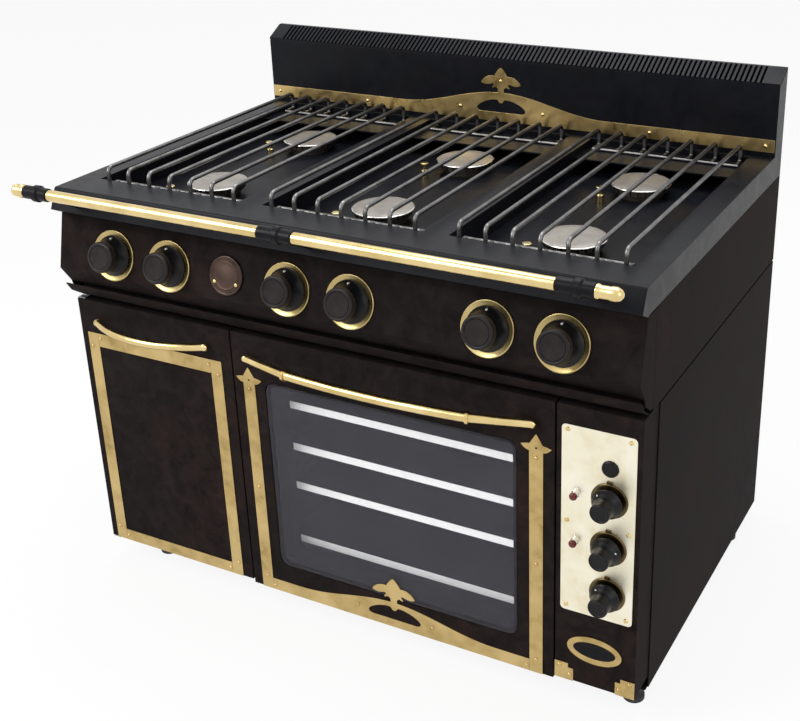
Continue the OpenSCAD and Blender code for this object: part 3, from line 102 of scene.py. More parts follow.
class Graph:
    """A material's node tree, with short methods for the nodes it uses."""

    def __init__(self, name: str) -> None:
        """Makes the material and finds its shader.

        Args:
            name: The material's name.
        """
        self.material = bpy.data.materials.new(name)
        self.material.use_nodes = True
        self.tree = self.material.node_tree
        self.shader = self.tree.nodes["Principled BSDF"]
        self.coords = self.tree.nodes.new("ShaderNodeTexCoord").outputs["Object"]

    def link(self, a: bpy.types.NodeSocket, b: bpy.types.NodeSocket) -> None:
        """Joins socket a to socket b."""
        self.tree.links.new(a, b)

    def set(self, name: str, value: float) -> None:
        """Sets one of the shader's own sockets to a constant."""
        self.shader.inputs[name].default_value = value

    def stretched(self, scale: Point) -> bpy.types.NodeSocket:
        """Object coordinates, scaled.

        Args:
            scale: Factors along X, Y and Z.

        Returns:
            The vector socket.
        """
        node = self.tree.nodes.new("ShaderNodeMapping")
        node.inputs["Scale"].default_value = scale
        self.link(self.coords, node.inputs["Vector"])
        return node.outputs["Vector"]

    def noise(
        self,
        scale: float,
        detail: float = 4.0,
        rough: float = 0.55,
        vector: bpy.types.NodeSocket | None = None,
        warp: float = 0.0,
    ) -> bpy.types.NodeSocket:
        """A noise pattern.

        Args:
            scale: Waves per metre.
            detail: Number of finer layers.
            rough: Share of each finer layer.
            vector: Where the pattern is read, or None for Object coordinates.
            warp: How far the pattern is distorted.

        Returns:
            The factor socket.
        """
        node = self.tree.nodes.new("ShaderNodeTexNoise")
        node.inputs["Scale"].default_value = scale
        node.inputs["Detail"].default_value = detail
        node.inputs["Roughness"].default_value = rough
        node.inputs["Distortion"].default_value = warp
        self.link(vector or self.coords, node.inputs["Vector"])
        return node.outputs["Fac"]

    def specks(self, scale: float) -> bpy.types.NodeSocket:
        """Distance to the nearest speck of a cell pattern, scale specks per metre."""
        node = self.tree.nodes.new("ShaderNodeTexVoronoi")
        node.inputs["Scale"].default_value = scale
        self.link(self.coords, node.inputs["Vector"])
        return node.outputs["Distance"]

    def ramp(
        self, factor: bpy.types.NodeSocket, stops: list[tuple[float, Colour]]
    ) -> bpy.types.NodeSocket:
        """Turns a factor into a colour.

        Args:
            factor: The factor socket.
            stops: Places from 0 to 1, each with its colour.

        Returns:
            The colour socket.
        """
        node = self.tree.nodes.new("ShaderNodeValToRGB")
        while len(node.color_ramp.elements) < len(stops):
            node.color_ramp.elements.new(0.5)
        for element, (place, colour) in zip(node.color_ramp.elements, stops):
            element.position = place
            element.color = (*colour, 1.0)
        self.link(factor, node.inputs["Fac"])
        return node.outputs["Color"]

    def span(
        self,
        factor: bpy.types.NodeSocket,
        low: float,
        high: float,
        start: float = 0.3,
        end: float = 0.7,
    ) -> bpy.types.NodeSocket:
        """Maps a factor between start and end to values between low and high.

        Args:
            factor: The factor socket.
            low: Value at start.
            high: Value at end.
            start: Lower end of the factor.
            end: Upper end of the factor.

        Returns:
            The value socket.
        """
        node = self.tree.nodes.new("ShaderNodeMapRange")
        node.inputs["From Min"].default_value = start
        node.inputs["From Max"].default_value = end
        node.inputs["To Min"].default_value = low
        node.inputs["To Max"].default_value = high
        self.link(factor, node.inputs["Value"])
        return node.outputs["Result"]

    def blend(
        self,
        share: bpy.types.NodeSocket,
        a: bpy.types.NodeSocket,
        b: bpy.types.NodeSocket,
    ) -> bpy.types.NodeSocket:
        """Mixes two colours.

        Args:
            share: Share of b.
            a: First colour.
            b: Second colour.

        Returns:
            The colour socket.
        """
        node = self.tree.nodes.new("ShaderNodeMix")
        node.data_type = "RGBA"
        self.link(share, node.inputs["Factor"])
        self.link(a, node.inputs[6])
        self.link(b, node.inputs[7])
        return node.outputs[2]

    def bump(self, height: bpy.types.NodeSocket, strength: float, depth: float) -> None:
        """Adds a bump to the shader's normal, on top of any bump before it.

        Args:
            height: Height pattern from 0 to 1.
            strength: Share of the effect.
            depth: Depth of the pattern in metres.
        """
        node = self.tree.nodes.new("ShaderNodeBump")
        node.inputs["Strength"].default_value = strength
        node.inputs["Distance"].default_value = depth
        self.link(height, node.inputs["Height"])
        before = self.shader.inputs["Normal"]
        if before.is_linked:
            self.link(before.links[0].from_socket, node.inputs["Normal"])
        self.link(node.outputs["Normal"], before)

    def colour(self, socket: bpy.types.NodeSocket) -> None:
        """Feeds the base colour."""
        self.link(socket, self.shader.inputs["Base Color"])

    def roughness(self, socket: bpy.types.NodeSocket) -> None:
        """Feeds the roughness."""
        self.link(socket, self.shader.inputs["Roughness"])


@dataclass(frozen=True)
class Enamel:
    """Stoved enamel on sheet steel, with faint clouds and patches of a warmer tone."""

    name: str
    dark: Colour
    light: Colour
    warm: Colour
    rough_low: float
    rough_high: float
    shine: float = 0.2
    cloud_scale: float = 5.0
    patch_scale: float = 24.0

    def build(self) -> bpy.types.Material:
        """Makes the material."""
        g = Graph(self.name)
        cloud = g.noise(self.cloud_scale, 4.0, 0.6, warp=0.5)
        patch = g.noise(self.patch_scale, 6.0, 0.68, warp=0.8)
        fine = g.noise(260.0, 3.0, 0.6)
        base = g.ramp(patch, [(0.3, self.dark), (0.72, self.light)])
        warm = g.ramp(patch, [(0.3, self.dark), (0.66, self.warm)])
        g.colour(g.blend(g.span(cloud, 0.0, 0.8, 0.42, 0.66), base, warm))
        g.roughness(g.span(patch, self.rough_low, self.rough_high))
        g.bump(g.noise(34.0, 2.0, 0.5), 0.12, 0.0008)
        g.bump(fine, 0.12, 0.0002)
        g.set("Specular IOR Level", self.shine)
        return g.material


@dataclass(frozen=True)
class Brass:
    """Brushed brass with soft clouds, a few darker stains and hand-polishing marks."""

    name: str
    bright: Colour
    deep: Colour
    stain: Colour
    rough_low: float
    rough_high: float
    stained: float = 0.35
    wave: float = 0.0004

    def build(self) -> bpy.types.Material:
        """Makes the material."""
        g = Graph(self.name)
        cloud = g.noise(13.0, 3.0, 0.5, warp=0.4)
        fine = g.noise(48.0, 3.0, 0.5, warp=0.3)
        brushed = g.noise(420.0, 2.0, 0.5, g.stretched((0.12, 1.0, 1.0)))
        base = g.ramp(cloud, [(0.34, self.deep), (0.64, self.bright)])
        stain = g.ramp(fine, [(0.34, self.stain), (0.62, self.bright)])
        g.colour(g.blend(g.span(cloud, self.stained, 0.0, 0.34, 0.58), base, stain))
        g.roughness(g.span(fine, self.rough_low, self.rough_high))
        g.bump(g.noise(22.0, 1.0, 0.4), 0.18, self.wave)
        g.bump(brushed, 0.03, 0.0001)
        g.set("Metallic", 1.0)
        return g.material


@dataclass(frozen=True)
class Steel:
    """Bare, cast, brushed or plated metal that isn't brass."""

    name: str
    bright: Colour
    dull: Colour
    rough_low: float
    rough_high: float
    metallic: float = 1.0
    grain_scale: float = 500.0
    grain_depth: float = 0.00015

    def build(self) -> bpy.types.Material:
        """Makes the material."""
        g = Graph(self.name)
        cloud = g.noise(30.0, 5.0, 0.65)
        grain = g.noise(self.grain_scale, 3.0, 0.6)
        g.colour(g.ramp(cloud, [(0.3, self.dull), (0.68, self.bright)]))
        g.roughness(g.span(grain, self.rough_low, self.rough_high))
        g.bump(grain, 0.3, self.grain_depth)
        g.set("Metallic", self.metallic)
        return g.material


@dataclass(frozen=True)
class Moulded:
    """Phenolic, rubber, wool, glazed oven lining or another dull non-metal."""

    name: str
    dark: Colour
    light: Colour
    rough_low: float
    rough_high: float
    grain_scale: float = 700.0
    grain_depth: float = 0.0002
    shine: float = 0.5

    def build(self) -> bpy.types.Material:
        """Makes the material."""
        g = Graph(self.name)
        cloud = g.noise(60.0, 4.0, 0.6)
        grain = g.noise(self.grain_scale, 3.0, 0.6)
        g.colour(g.ramp(cloud, [(0.3, self.dark), (0.7, self.light)]))
        g.roughness(g.span(cloud, self.rough_low, self.rough_high))
        g.bump(grain, 0.3, self.grain_depth)
        g.set("Specular IOR Level", self.shine)
        return g.material


@dataclass(frozen=True)
class SpeckledGlass:
    """Tinted oven glass with fine dark flecks."""

    name: str
    tint: Colour
    speck: Colour
    alpha: float
    speck_scale: float = 230.0

    def build(self) -> bpy.types.Material:
        """Makes the material."""
        g = Graph(self.name)
        dots = g.specks(self.speck_scale)
        grain = g.noise(self.speck_scale, 3.0, 0.7)
        cloud = g.noise(9.0, 3.0, 0.6)
        base = g.ramp(dots, [(0.14, self.speck), (0.34, self.tint)])
        plain = g.ramp(grain, [(0.36, self.speck), (0.58, self.tint)])
        g.colour(g.blend(g.span(cloud, 0.35, 0.75), base, plain))
        g.roughness(g.span(cloud, 0.06, 0.12))
        g.set("Alpha", self.alpha)
        g.set("Specular IOR Level", 0.25)
        g.material.surface_render_method = "BLENDED"
        return g.material


class Finish(Enum):
    """The finishes of the cooker's pieces.

    Those of the record carry their slot's name. The others are finer parts of a
    slot: the strips, bezels and rings, the trays' insides, the caps' faces, the
    white marks and the inner pane.
    """

    CASING = Enamel(
        "casing_enamel", (0.0115, 0.0098, 0.0098), (0.0240, 0.0196, 0.0190),
        (0.0320, 0.0200, 0.0165), 0.36, 0.5, shine=0.004,
    )
    HOB = Enamel(
        "hob_enamel", (0.0046, 0.0050, 0.0070), (0.0082, 0.0090, 0.0126), (0.0075, 0.0072, 0.0086),
        0.3, 0.42, shine=0.12,
    )
    BRASS = Brass(
        "polished_brass", (0.80, 0.63, 0.31), (0.66, 0.49, 0.20), (0.42, 0.29, 0.10), 0.16, 0.26,
        stained=0.2,
    )
    STRIP = Brass(
        "strip_brass", (0.62, 0.455, 0.20), (0.46, 0.325, 0.125), (0.30, 0.21, 0.075), 0.26, 0.38,
        stained=0.5,
    )
    PLATE = Brass(
        "plate_brass", (0.93, 0.885, 0.73), (0.84, 0.775, 0.57), (0.70, 0.58, 0.34), 0.3, 0.44,
        stained=0.45, wave=0.0006,
    )
    BRONZE = Brass(
        "bronze", (0.105, 0.070, 0.056), (0.045, 0.029, 0.025), (0.018, 0.012, 0.011), 0.34, 0.5,
    )
    OLIVE = Brass(
        "ring_bronze", (0.135, 0.098, 0.045), (0.065, 0.046, 0.020),
        (0.022, 0.015, 0.008), 0.28, 0.42,
    )
    BLACK = Moulded(
        "black_fittings", (0.004, 0.004, 0.005), (0.009, 0.009, 0.011), 0.26, 0.4, shine=0.1,
    )
    KNOB = Moulded(
        "knob_black", (0.0042, 0.0040, 0.0048), (0.0085, 0.0078, 0.0085), 0.26, 0.4, shine=0.2,
    )
    BEZEL = Brass(
        "bezel_brass", (0.60, 0.475, 0.22), (0.47, 0.355, 0.145), (0.33, 0.24, 0.09), 0.26, 0.36,
        stained=0.3,
    )
    GRATE = Steel("grate_steel", (0.235, 0.232, 0.23), (0.115, 0.113, 0.112), 0.3, 0.46)
    BURNER = Steel("burner_alloy", (0.15, 0.13, 0.11), (0.06, 0.052, 0.045), 0.4, 0.6)
    CAP = Steel(
        "burner_cap_steel", (0.47, 0.44, 0.40), (0.33, 0.305, 0.275), 0.36, 0.52, 0.9, 900.0,
    )
    GLASS = SpeckledGlass("oven_glass", (0.165, 0.16, 0.185), (0.035, 0.036, 0.05), 0.24)
    # Near-white: on the strips at the trays' front edges this colour is a painted highlight.
    TRAY = Moulded(
        "tray_aluminium", (0.90, 0.90, 0.90), (0.96, 0.96, 0.96), 0.3, 0.42, 500.0, shine=0.3,
    )
    TRAY_PAN = Moulded(
        "tray_enamel", (0.006, 0.007, 0.009), (0.012, 0.014, 0.017), 0.4, 0.55, shine=0.05,
    )
    LINER = Moulded(
        "oven_liner", (0.004, 0.005, 0.006), (0.009, 0.011, 0.014), 0.45, 0.6, 300.0, shine=0.05,
    )
    RACK = Steel("rack_chrome", (0.16, 0.16, 0.17), (0.09, 0.09, 0.10), 0.25, 0.4)
    WOOL = Moulded(
        "insulation_wool", (0.55, 0.5, 0.38), (0.8, 0.76, 0.62), 0.9, 1.0, 200.0, 0.002, 0.1,
    )
    SEAL = Moulded(
        "seal_rubber", (0.012, 0.012, 0.012), (0.03, 0.03, 0.03), 0.7, 0.9, 900.0, 0.0005,
    )
    LENS = Moulded(
        "lamp_red", (0.09, 0.004, 0.004), (0.17, 0.007, 0.006), 0.08, 0.16, 400.0, 0.00005, 0.5,
    )
    LAMP = Steel("lamp_body", (0.90, 0.88, 0.84), (0.70, 0.68, 0.64), 0.1, 0.2)
    SWITCH = Moulded("switch_plastic", (0.03, 0.03, 0.033), (0.06, 0.06, 0.065), 0.5, 0.7)
    ZINC = Steel("zinc_steel", (0.5, 0.5, 0.52), (0.34, 0.34, 0.36), 0.3, 0.5)
    FOOT = Moulded("foot_rubber", (0.012, 0.012, 0.012), (0.03, 0.03, 0.03), 0.55, 0.8)
    KNOB_FACE = Moulded(
        "knob_face", (0.010, 0.0075, 0.0082), (0.021, 0.0155, 0.0158), 0.3, 0.44, shine=0.2,
    )
    MARK = Moulded("white_mark", (0.72, 0.72, 0.70), (0.85, 0.85, 0.83), 0.4, 0.5)
    INNER_GLASS = SpeckledGlass("clear_glass", (0.01, 0.012, 0.015), (0.03, 0.035, 0.04), 0.05)


class Wardrobe:
    """Builds each finish once and hands it out."""

    def __init__(self) -> None:
        """Starts with no finish built."""
        self.made: dict[str, bpy.types.Material] = {}
        self.finish_of = {f.value.name: f.value for f in Finish}

    def get(self, slot: str) -> bpy.types.Material:
        """The material of a slot.

        Args:
            slot: The slot's name.

        Returns:
            The material, built on first use.
        """
        if slot not in self.made:
            self.made[slot] = self.finish_of[slot].build()
        return self.made[slot]


# ---------------------------------------------------------------- mesh tools


def only(obj: bpy.types.Object) -> None:
    """Selects one object alone and makes it active."""
    bpy.ops.object.select_all(action="DESELECT")
    obj.select_set(True)
    bpy.context.view_layer.objects.active = obj


def edit(obj: bpy.types.Object) -> None:
    """Opens an object alone in edit mode with all of its mesh selected."""
    only(obj)
    bpy.ops.object.mode_set(mode="EDIT")
    bpy.ops.mesh.select_all(action="SELECT")


def close() -> None:
    """Leaves edit mode."""
    bpy.ops.object.mode_set(mode="OBJECT")


def release(obj: bpy.types.Object) -> None:
    """Leaves edit mode and drops the normals that a node's mesh came with."""
    close()
    if obj.data.has_custom_normals:
        bpy.ops.mesh.customdata_custom_splitnormals_clear()


def apply_modifier(obj: bpy.types.Object, kind: str, **settings: object) -> None:
    """Adds a modifier, sets it and applies it.

    Args:
        obj: The object.
        kind: The modifier's type.
        settings: The modifier's properties by name.
    """
    modifier = obj.modifiers.new(kind.lower(), kind)
    for key, value in settings.items():
        setattr(modifier, key, value)
    only(obj)
    bpy.ops.object.modifier_apply(modifier=modifier.name)


def round_edges(
    obj: bpy.types.Object, width: float, segments: int = 2, degrees: float = 30.0
) -> None:
    """Rounds the edges of an object that turn by more than an angle.

    Args:
        obj: The object.
        width: Width of the rounding in metres.
        segments: Number of faces across the rounding.
        degrees: The least angle that is rounded.
    """
    apply_modifier(
        obj, "BEVEL", width=width, segments=segments, limit_method="ANGLE",
        angle_limit=math.radians(degrees), use_clamp_overlap=True,
    )


def settle(obj: bpy.types.Object, degrees: float = 32.0) -> None:
    """Shades an object smooth, with flat faces kept flat and sharp edges kept sharp."""
    only(obj)
    bpy.ops.object.shade_smooth_by_angle(angle=math.radians(degrees))
    apply_modifier(obj, "WEIGHTED_NORMAL", keep_sharp=True, weight=80)


def clean(obj: bpy.types.Object) -> None:
    """Merges an object's doubled points and turns its faces outwards."""
    edit(obj)
    bpy.ops.mesh.remove_doubles(threshold=LATHE_MERGE)
    bpy.ops.mesh.normals_make_consistent(inside=False)
    close()


def lathe(name: str, outline: Outline, steps: int = 64) -> bpy.types.Object:
    """Turns an outline round the Z axis.

    One point is drawn out along the outline and spun through a full turn.

    Args:
        name: The object's name.
        outline: Radius and height of each point in millimetres.
        steps: Number of faces round the axis.

    Returns:
        The turned object, at the origin.
    """
    bpy.ops.object.select_all(action="DESELECT")
    bpy.ops.mesh.primitive_plane_add(size=MM)
    obj = bpy.context.active_object
    obj.name = obj.data.name = name
    edit(obj)
    bpy.ops.mesh.merge(type="CENTER")
    points = [Vector((r * MM, 0.0, z * MM)) for r, z in outline]
    bpy.ops.transform.translate(value=points[0])
    for here, there in zip(points, points[1:]):
        bpy.ops.mesh.extrude_vertices_move(TRANSFORM_OT_translate={"value": there - here})
    bpy.ops.mesh.select_all(action="SELECT")
    bpy.ops.mesh.spin(steps=steps, angle=math.tau, center=(0.0, 0.0, 0.0), axis=UP)
    close()
    clean(obj)
    return obj


def block(name: str, size: Point, place: Point = (0.0, 0.0, 0.0)) -> bpy.types.Object:
    """A block drawn round a place.

    Args:
        name: The object's name.
        size: Its size along X, Y and Z.
        place: Its middle.

    Returns:
        The block, with its size and place in its mesh.
    """
    bpy.ops.object.select_all(action="DESELECT")
    bpy.ops.mesh.primitive_cube_add(size=1.0)
    obj = bpy.context.active_object
    obj.name = name
    edit(obj)
    bpy.ops.transform.resize(value=size)
    bpy.ops.transform.translate(value=place)
    close()
    return obj


def curve(points: Outline, steps: int = 5) -> Outline:
    """A smooth outline through a few points.

    Args:
        points: Points to pass through.
        steps: Number of stretches between two points.

    Returns:
        The points of a centripetal spline through them.
    """
    ends = [points[0], *points, points[-1]]
    out = [points[0]]
    for p0, p1, p2, p3 in zip(ends, ends[1:], ends[2:], ends[3:]):
        for i in range(1, steps + 1):
            t = i / steps
            out.append(tuple(
                0.5 * (2 * b + (c - a) * t + (2 * a - 5 * b + 4 * c - d) * t * t
                       + (3 * b - a - 3 * c + d) * t ** 3)
                for a, b, c, d in zip(p0, p1, p2, p3)
            ))
    return out


def seat(obj: bpy.types.Object, place: Point, axis: Point = UP, turn: float = 0.0) -> None:
    """Puts an object that was drawn at the origin in its place.

    Args:
        obj: The object.
        place: Where its origin goes.
        axis: Where its Z axis points.
        turn: Turn about that axis in degrees, from the frame's X.
    """
    z = Vector(axis).normalized()
    x = Vector((1.0, 0.0, 0.0))
    basis = Matrix((x, z.cross(x), z)).transposed().to_4x4()
    spin = Matrix.Rotation(math.radians(turn), 4, "Z")
    obj.matrix_world = Matrix.Translation(place) @ basis @ spin
    only(obj)
    bpy.ops.object.transform_apply(location=True, rotation=True, scale=True)


def twin(obj: bpy.types.Object, name: str) -> bpy.types.Object:
    """A copy of an object with its own mesh."""
    copy = bpy.data.objects.new(name, obj.data.copy())
    bpy.context.scene.collection.objects.link(copy)
    return copy


def join(objects: list[bpy.types.Object]) -> bpy.types.Object:
    """Joins objects into the first of them."""
    only(objects[0])
    for obj in objects[1:]:
        obj.select_set(True)
    bpy.ops.object.join()
    return objects[0]


def discard(obj: bpy.types.Object) -> None:
    """Removes an object that was only a pattern for copies."""
    bpy.data.objects.remove(obj, do_unlink=True)


def middle(node: str) -> Vector:
    """The middle of a node's box."""
    low, high = (Vector(corner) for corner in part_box(node))
    return (low + high) / 2


def across(*nodes: str) -> tuple[Cut, ...]:
    """Upright cuts through the middles of nodes, at right angles to the front."""
    return tuple((Axis.X.value, middle(node).x) for node in nodes)


class Bench:
    """Makes pieces, dresses them and puts them on their bodies."""

    def __init__(self, frame: dict, wardrobe: Wardrobe) -> None:
        """Remembers which body and slot each node has.

        Args:
            frame: The loaded frame.
            wardrobe: The finishes.
        """
        self.frame = frame
        self.wardrobe = wardrobe
        record = frame["record"]
        self.body_of = {
            node: body for body, nodes in record["behaviour"]["bodies"].items() for node in nodes
        }
        self.slot_of = {s["node"]: s["material_slot"] for s in record["subparts"]}
        self.done: set[str] = set()

    def mount(
        self, obj: bpy.types.Object, node: str, finish: str | None = None, replace: bool = True
    ) -> bpy.types.Object:
        """Dresses a finished piece and puts it on the body of a node.

        Args:
            obj: The finished piece.
            node: The node whose body it rides on.
            finish: Its finish, or None for that of the node's slot.
            replace: Whether it stands for the node.

        Returns:
            The piece.
        """
        slot = self.slot_of[node]
        finish = finish or slot
        obj.data.materials.clear()
        obj.data.materials.append(self.wardrobe.get(finish))
        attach(obj, self.body_of[node])
        if replace:
            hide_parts(node)
            self.done.add(node)
        LOG.info("piece %s on %s in %s", obj.name, self.body_of[node], finish)
        return obj

    def copy_of(self, node: str, name: str, cuts: tuple[Cut, ...] = ()) -> bpy.types.Object:
        """A merged copy of a node's mesh with its flat faces made whole.

        A flat face round an opening can't be whole, so a cut through the opening
        parts it in two.

        Args:
            node: The node.
            name: The copy's name.
            cuts: Axis and place of each cut.

        Returns:
            The copy.
        """
        obj = twin(self.frame["nodes"][node], name)
        edit(obj)
        bpy.ops.mesh.remove_doubles(threshold=CAD_MERGE)
        for axis, place in cuts:
            normal = [0.0, 0.0, 0.0]
            normal[axis] = 1.0
            bpy.ops.mesh.select_all(action="SELECT")
            bpy.ops.mesh.bisect(plane_co=[place * n for n in normal], plane_no=normal)
            bpy.ops.mesh.mark_seam()
        bpy.ops.mesh.select_all(action="SELECT")
        bpy.ops.mesh.dissolve_limited(angle_limit=math.radians(FLAT_DEGREES), delimit={"SEAM"})
        release(obj)
        return obj

    def soften(
        self,
        node: str,
        width: float,
        segments: int = 2,
        degrees: float = 30.0,
        cuts: tuple[Cut, ...] = (),
        finish: str | None = None,
    ) -> bpy.types.Object:
        """Replaces a node with a copy whose edges are rounded.

        Args:
            node: The node.
            width: Width of the rounding in metres.
            segments: Number of faces across the rounding.
            degrees: The least angle that is rounded.
            cuts: Axis and place of each cut through an opening.
            finish: The piece's finish, or None for that of the node's slot.

        Returns:
            The piece.
        """
        obj = self.copy_of(node, f"{node}_finished", cuts)
        round_edges(obj, width, segments, degrees)
        settle(obj)
        return self.mount(obj, node, finish)

    def tidy(self, node: str) -> bpy.types.Object:
        """Replaces a node with a copy that has clean shading and its own edges."""
        obj = twin(self.frame["nodes"][node], f"{node}_finished")
        edit(obj)
        bpy.ops.mesh.remove_doubles(threshold=CAD_MERGE)
        release(obj)
        settle(obj)
        return self.mount(obj, node)

    def joint(self, name: str) -> tuple[Vector, Vector]:
        """Place and axis of a turning joint at rest."""
        found = next(j for j in self.frame["joints"] if j["name"] == name)
        return Vector(found["pos_m"]), Vector(found["axis"])


# ---------------------------------------------------------------- the cooker


@dataclass
class Casing:
    """The folded sheet-metal casing, upper and lower."""

    bench: Bench
    fold: float = 1.6 * MM
    nose_fold: float = 2.0 * MM

    def build(self) -> None:
        """Rounds the folds of each sheet and dresses it."""
        bench = self.bench
        bays = across("grate_1", "grate_2", "grate_3")
        knobs = tuple((Axis.X.value, bench.joint(f"hob_knob_{i}_turn")[0].x) for i in range(1, 7))
        dials = across("oven_knob_1", "indicator_lamps")
        bench.soften("cooktop", self.nose_fold, 3, cuts=bays)
        bench.soften("control_panel", self.fold, cuts=knobs)
        bench.soften("control_cover", self.fold, 3, cuts=dials)
        for node in ("drip_tray", "backguard"):
            bench.soften(node, self.fold, 3)
        for node in ("side_panels", "base_panel", "inner_panels", "upper_body"):
            bench.soften(node, 0.6 * MM)
        bench.soften("burner_pans", 0.5 * MM)
        for node in ("rear_panel", "vent_cap"):
            bench.tidy(node)


@dataclass
class Doors:
    """The oven door with its window, and the cupboard door."""

    bench: Bench
    fold: float = 1.8 * MM
    strip_edge: float = 0.6 * MM
    handle_edge: float = 1.1 * MM

    def build(self) -> None:
        """Builds both doors, their trim and their handles."""
        bench = self.bench
        window = ((Axis.Z.value, middle("oven_glass").z),)
        bench.soften("oven_door", self.fold, 3, cuts=window)
        bench.soften("cabinet_door", self.fold, 3)
        bench.soften("oven_door_liner", 0.5 * MM, cuts=window)
        bench.soften(
            "oven_door_trim", self.strip_edge, cuts=across("oven_glass"), finish="strip_brass",
        )
        bench.soften("cabinet_door_trim", self.strip_edge, finish="strip_brass")
        for node in ("oven_handle", "cabinet_handle"):
            bench.soften(node, self.handle_edge, 3)
        self.glaze()

    def glaze(self) -> None:
        """Parts the window's node into the tinted outer pane and the clear inner one."""
        pair = self.bench.copy_of("oven_glass", "oven_glass_outer")
        edit(pair)
        bpy.ops.mesh.separate(type="LOOSE")
        close()
        panes = sorted(
            bpy.context.selected_objects, key=lambda o: min(v.co.y for v in o.data.vertices)
        )
        for pane, name, slot in zip(panes, ("outer", "inner"), ("oven_glass", "clear_glass")):
            pane.name = f"oven_glass_{name}"
            round_edges(pane, 0.4 * MM)
            settle(pane)
            self.bench.mount(pane, "oven_glass", slot, replace=name == "outer")


@dataclass
class HobKnobs:
    """Six turned knobs with their pins, in dished brass bezels."""

    bench: Bench
    count: int = 6
    skirt_r: float = 39.0
    cap_r: float = 29.6
    base: float = 3.2
    reach: float = 42.2
    bezel_r: float = 49.5
    pin_r: float = 1.9
    pin_top: float = 14.0

    def skirt(self) -> bpy.types.Object:
        """The flared skirt and the neck under the cap."""
        b, s = self.base, self.skirt_r
        flare = curve([(s, b + 2.4), (s * 0.91, b + 5.4), (s * 0.82, b + 10.5),
                       (s * 0.74, b + 17.0), (s * 0.69, b + 23.0)])
        obj = lathe("skirt", [(0.0, b), (s - 0.6, b), (s, b + 0.6), *flare, (0.0, b + 23.6)], 72)
        round_edges(obj, 0.35 * MM, 2, 40.0)
        settle(obj, 40.0)
        return obj

    def cap(self) -> bpy.types.Object:
        """The cap with its rounded rim, the groove inside it and a slightly hollow face."""
        c, b = self.cap_r, self.base
        top = self.reach
        rim = curve([(c, top - 11.5), (c, top - 4.6), (c - 1.0, top - 1.6), (c - 3.4, top - 0.2),
                     (c - 5.6, top - 0.5), (c - 6.9, top - 1.9)], 4)
        face = [(c - 7.6, top - 2.0), (c - 8.4, top - 1.1), (c - 10.5, top - 1.0),
                (c * 0.4, top - 1.7), (0.0, top - 2.0)]
        back = [(0.0, b + 22.6), (c - 4.6, b + 22.6), (c - 4.4, b + 24.6),
                (c - 1.4, b + 25.2), (c - 0.3, b + 26.2)]
        obj = lathe("cap", [*back, *rim, *face], 72)
        settle(obj, 40.0)
        return obj

    def pin(self) -> bpy.types.Object:
        """The small bright pin that marks the knob's position."""
        r, y = self.pin_r, self.skirt_r * 0.86
        obj = lathe("pin", [(0.0, self.base), (r, self.base), (r, self.pin_top - 1.2),
                            (r * 0.7, self.pin_top - 0.3), (0.0, self.pin_top)], 20)
        seat(obj, (0.0, y * MM, 0.0))
        settle(obj)
        return obj

    def bezel(self) -> bpy.types.Object:
        """The polished ring round a knob, dished towards the skirt."""
        r, s = self.bezel_r, self.skirt_r
        dish = curve([(r - 3.0, 4.1), (r - 6.0, 3.2), (s + 0.5, 2.3), (s - 4.0, 2.0)])
        rim = curve([(r, 0.9), (r - 0.4, 3.0), (r - 1.4, 4.3), (r - 3.0, 4.1)], 4)
        hole = s - 10.0
        obj = lathe("bezel", [(hole, 0.0), (r, 0.0), *rim, *dish[1:], (hole, 2.0), (hole, 0.0)], 96)
        settle(obj, 40.0)
        return obj

    def build(self) -> None:
        """Makes each pattern once and copies it to the six places."""
        bench = self.bench
        patterns = {
            "skirt": self.skirt(), "cap": self.cap(), "pin": self.pin(), "bezel": self.bezel(),
        }
        slots = {
            "skirt": "knob_black", "cap": "knob_face", "pin": "white_mark", "bezel": "bezel_brass",
        }
        for i in range(1, self.count + 1):
            place, axis = bench.joint(f"hob_knob_{i}_turn")
            for part, pattern in patterns.items():
                name = "knob_bezel" if part == "bezel" else f"hob_knob_{part}"
                piece = twin(pattern, f"{name}_{i}")
                seat(piece, place, axis)
                if part == "bezel":
                    bench.mount(piece, "knob_bezels", slots[part], replace=i == 1)
                else:
                    node = f"hob_knob_{i}"
                    bench.mount(piece, node, slots[part], replace=part == "skirt")
        for pattern in patterns.values():
            discard(pattern)


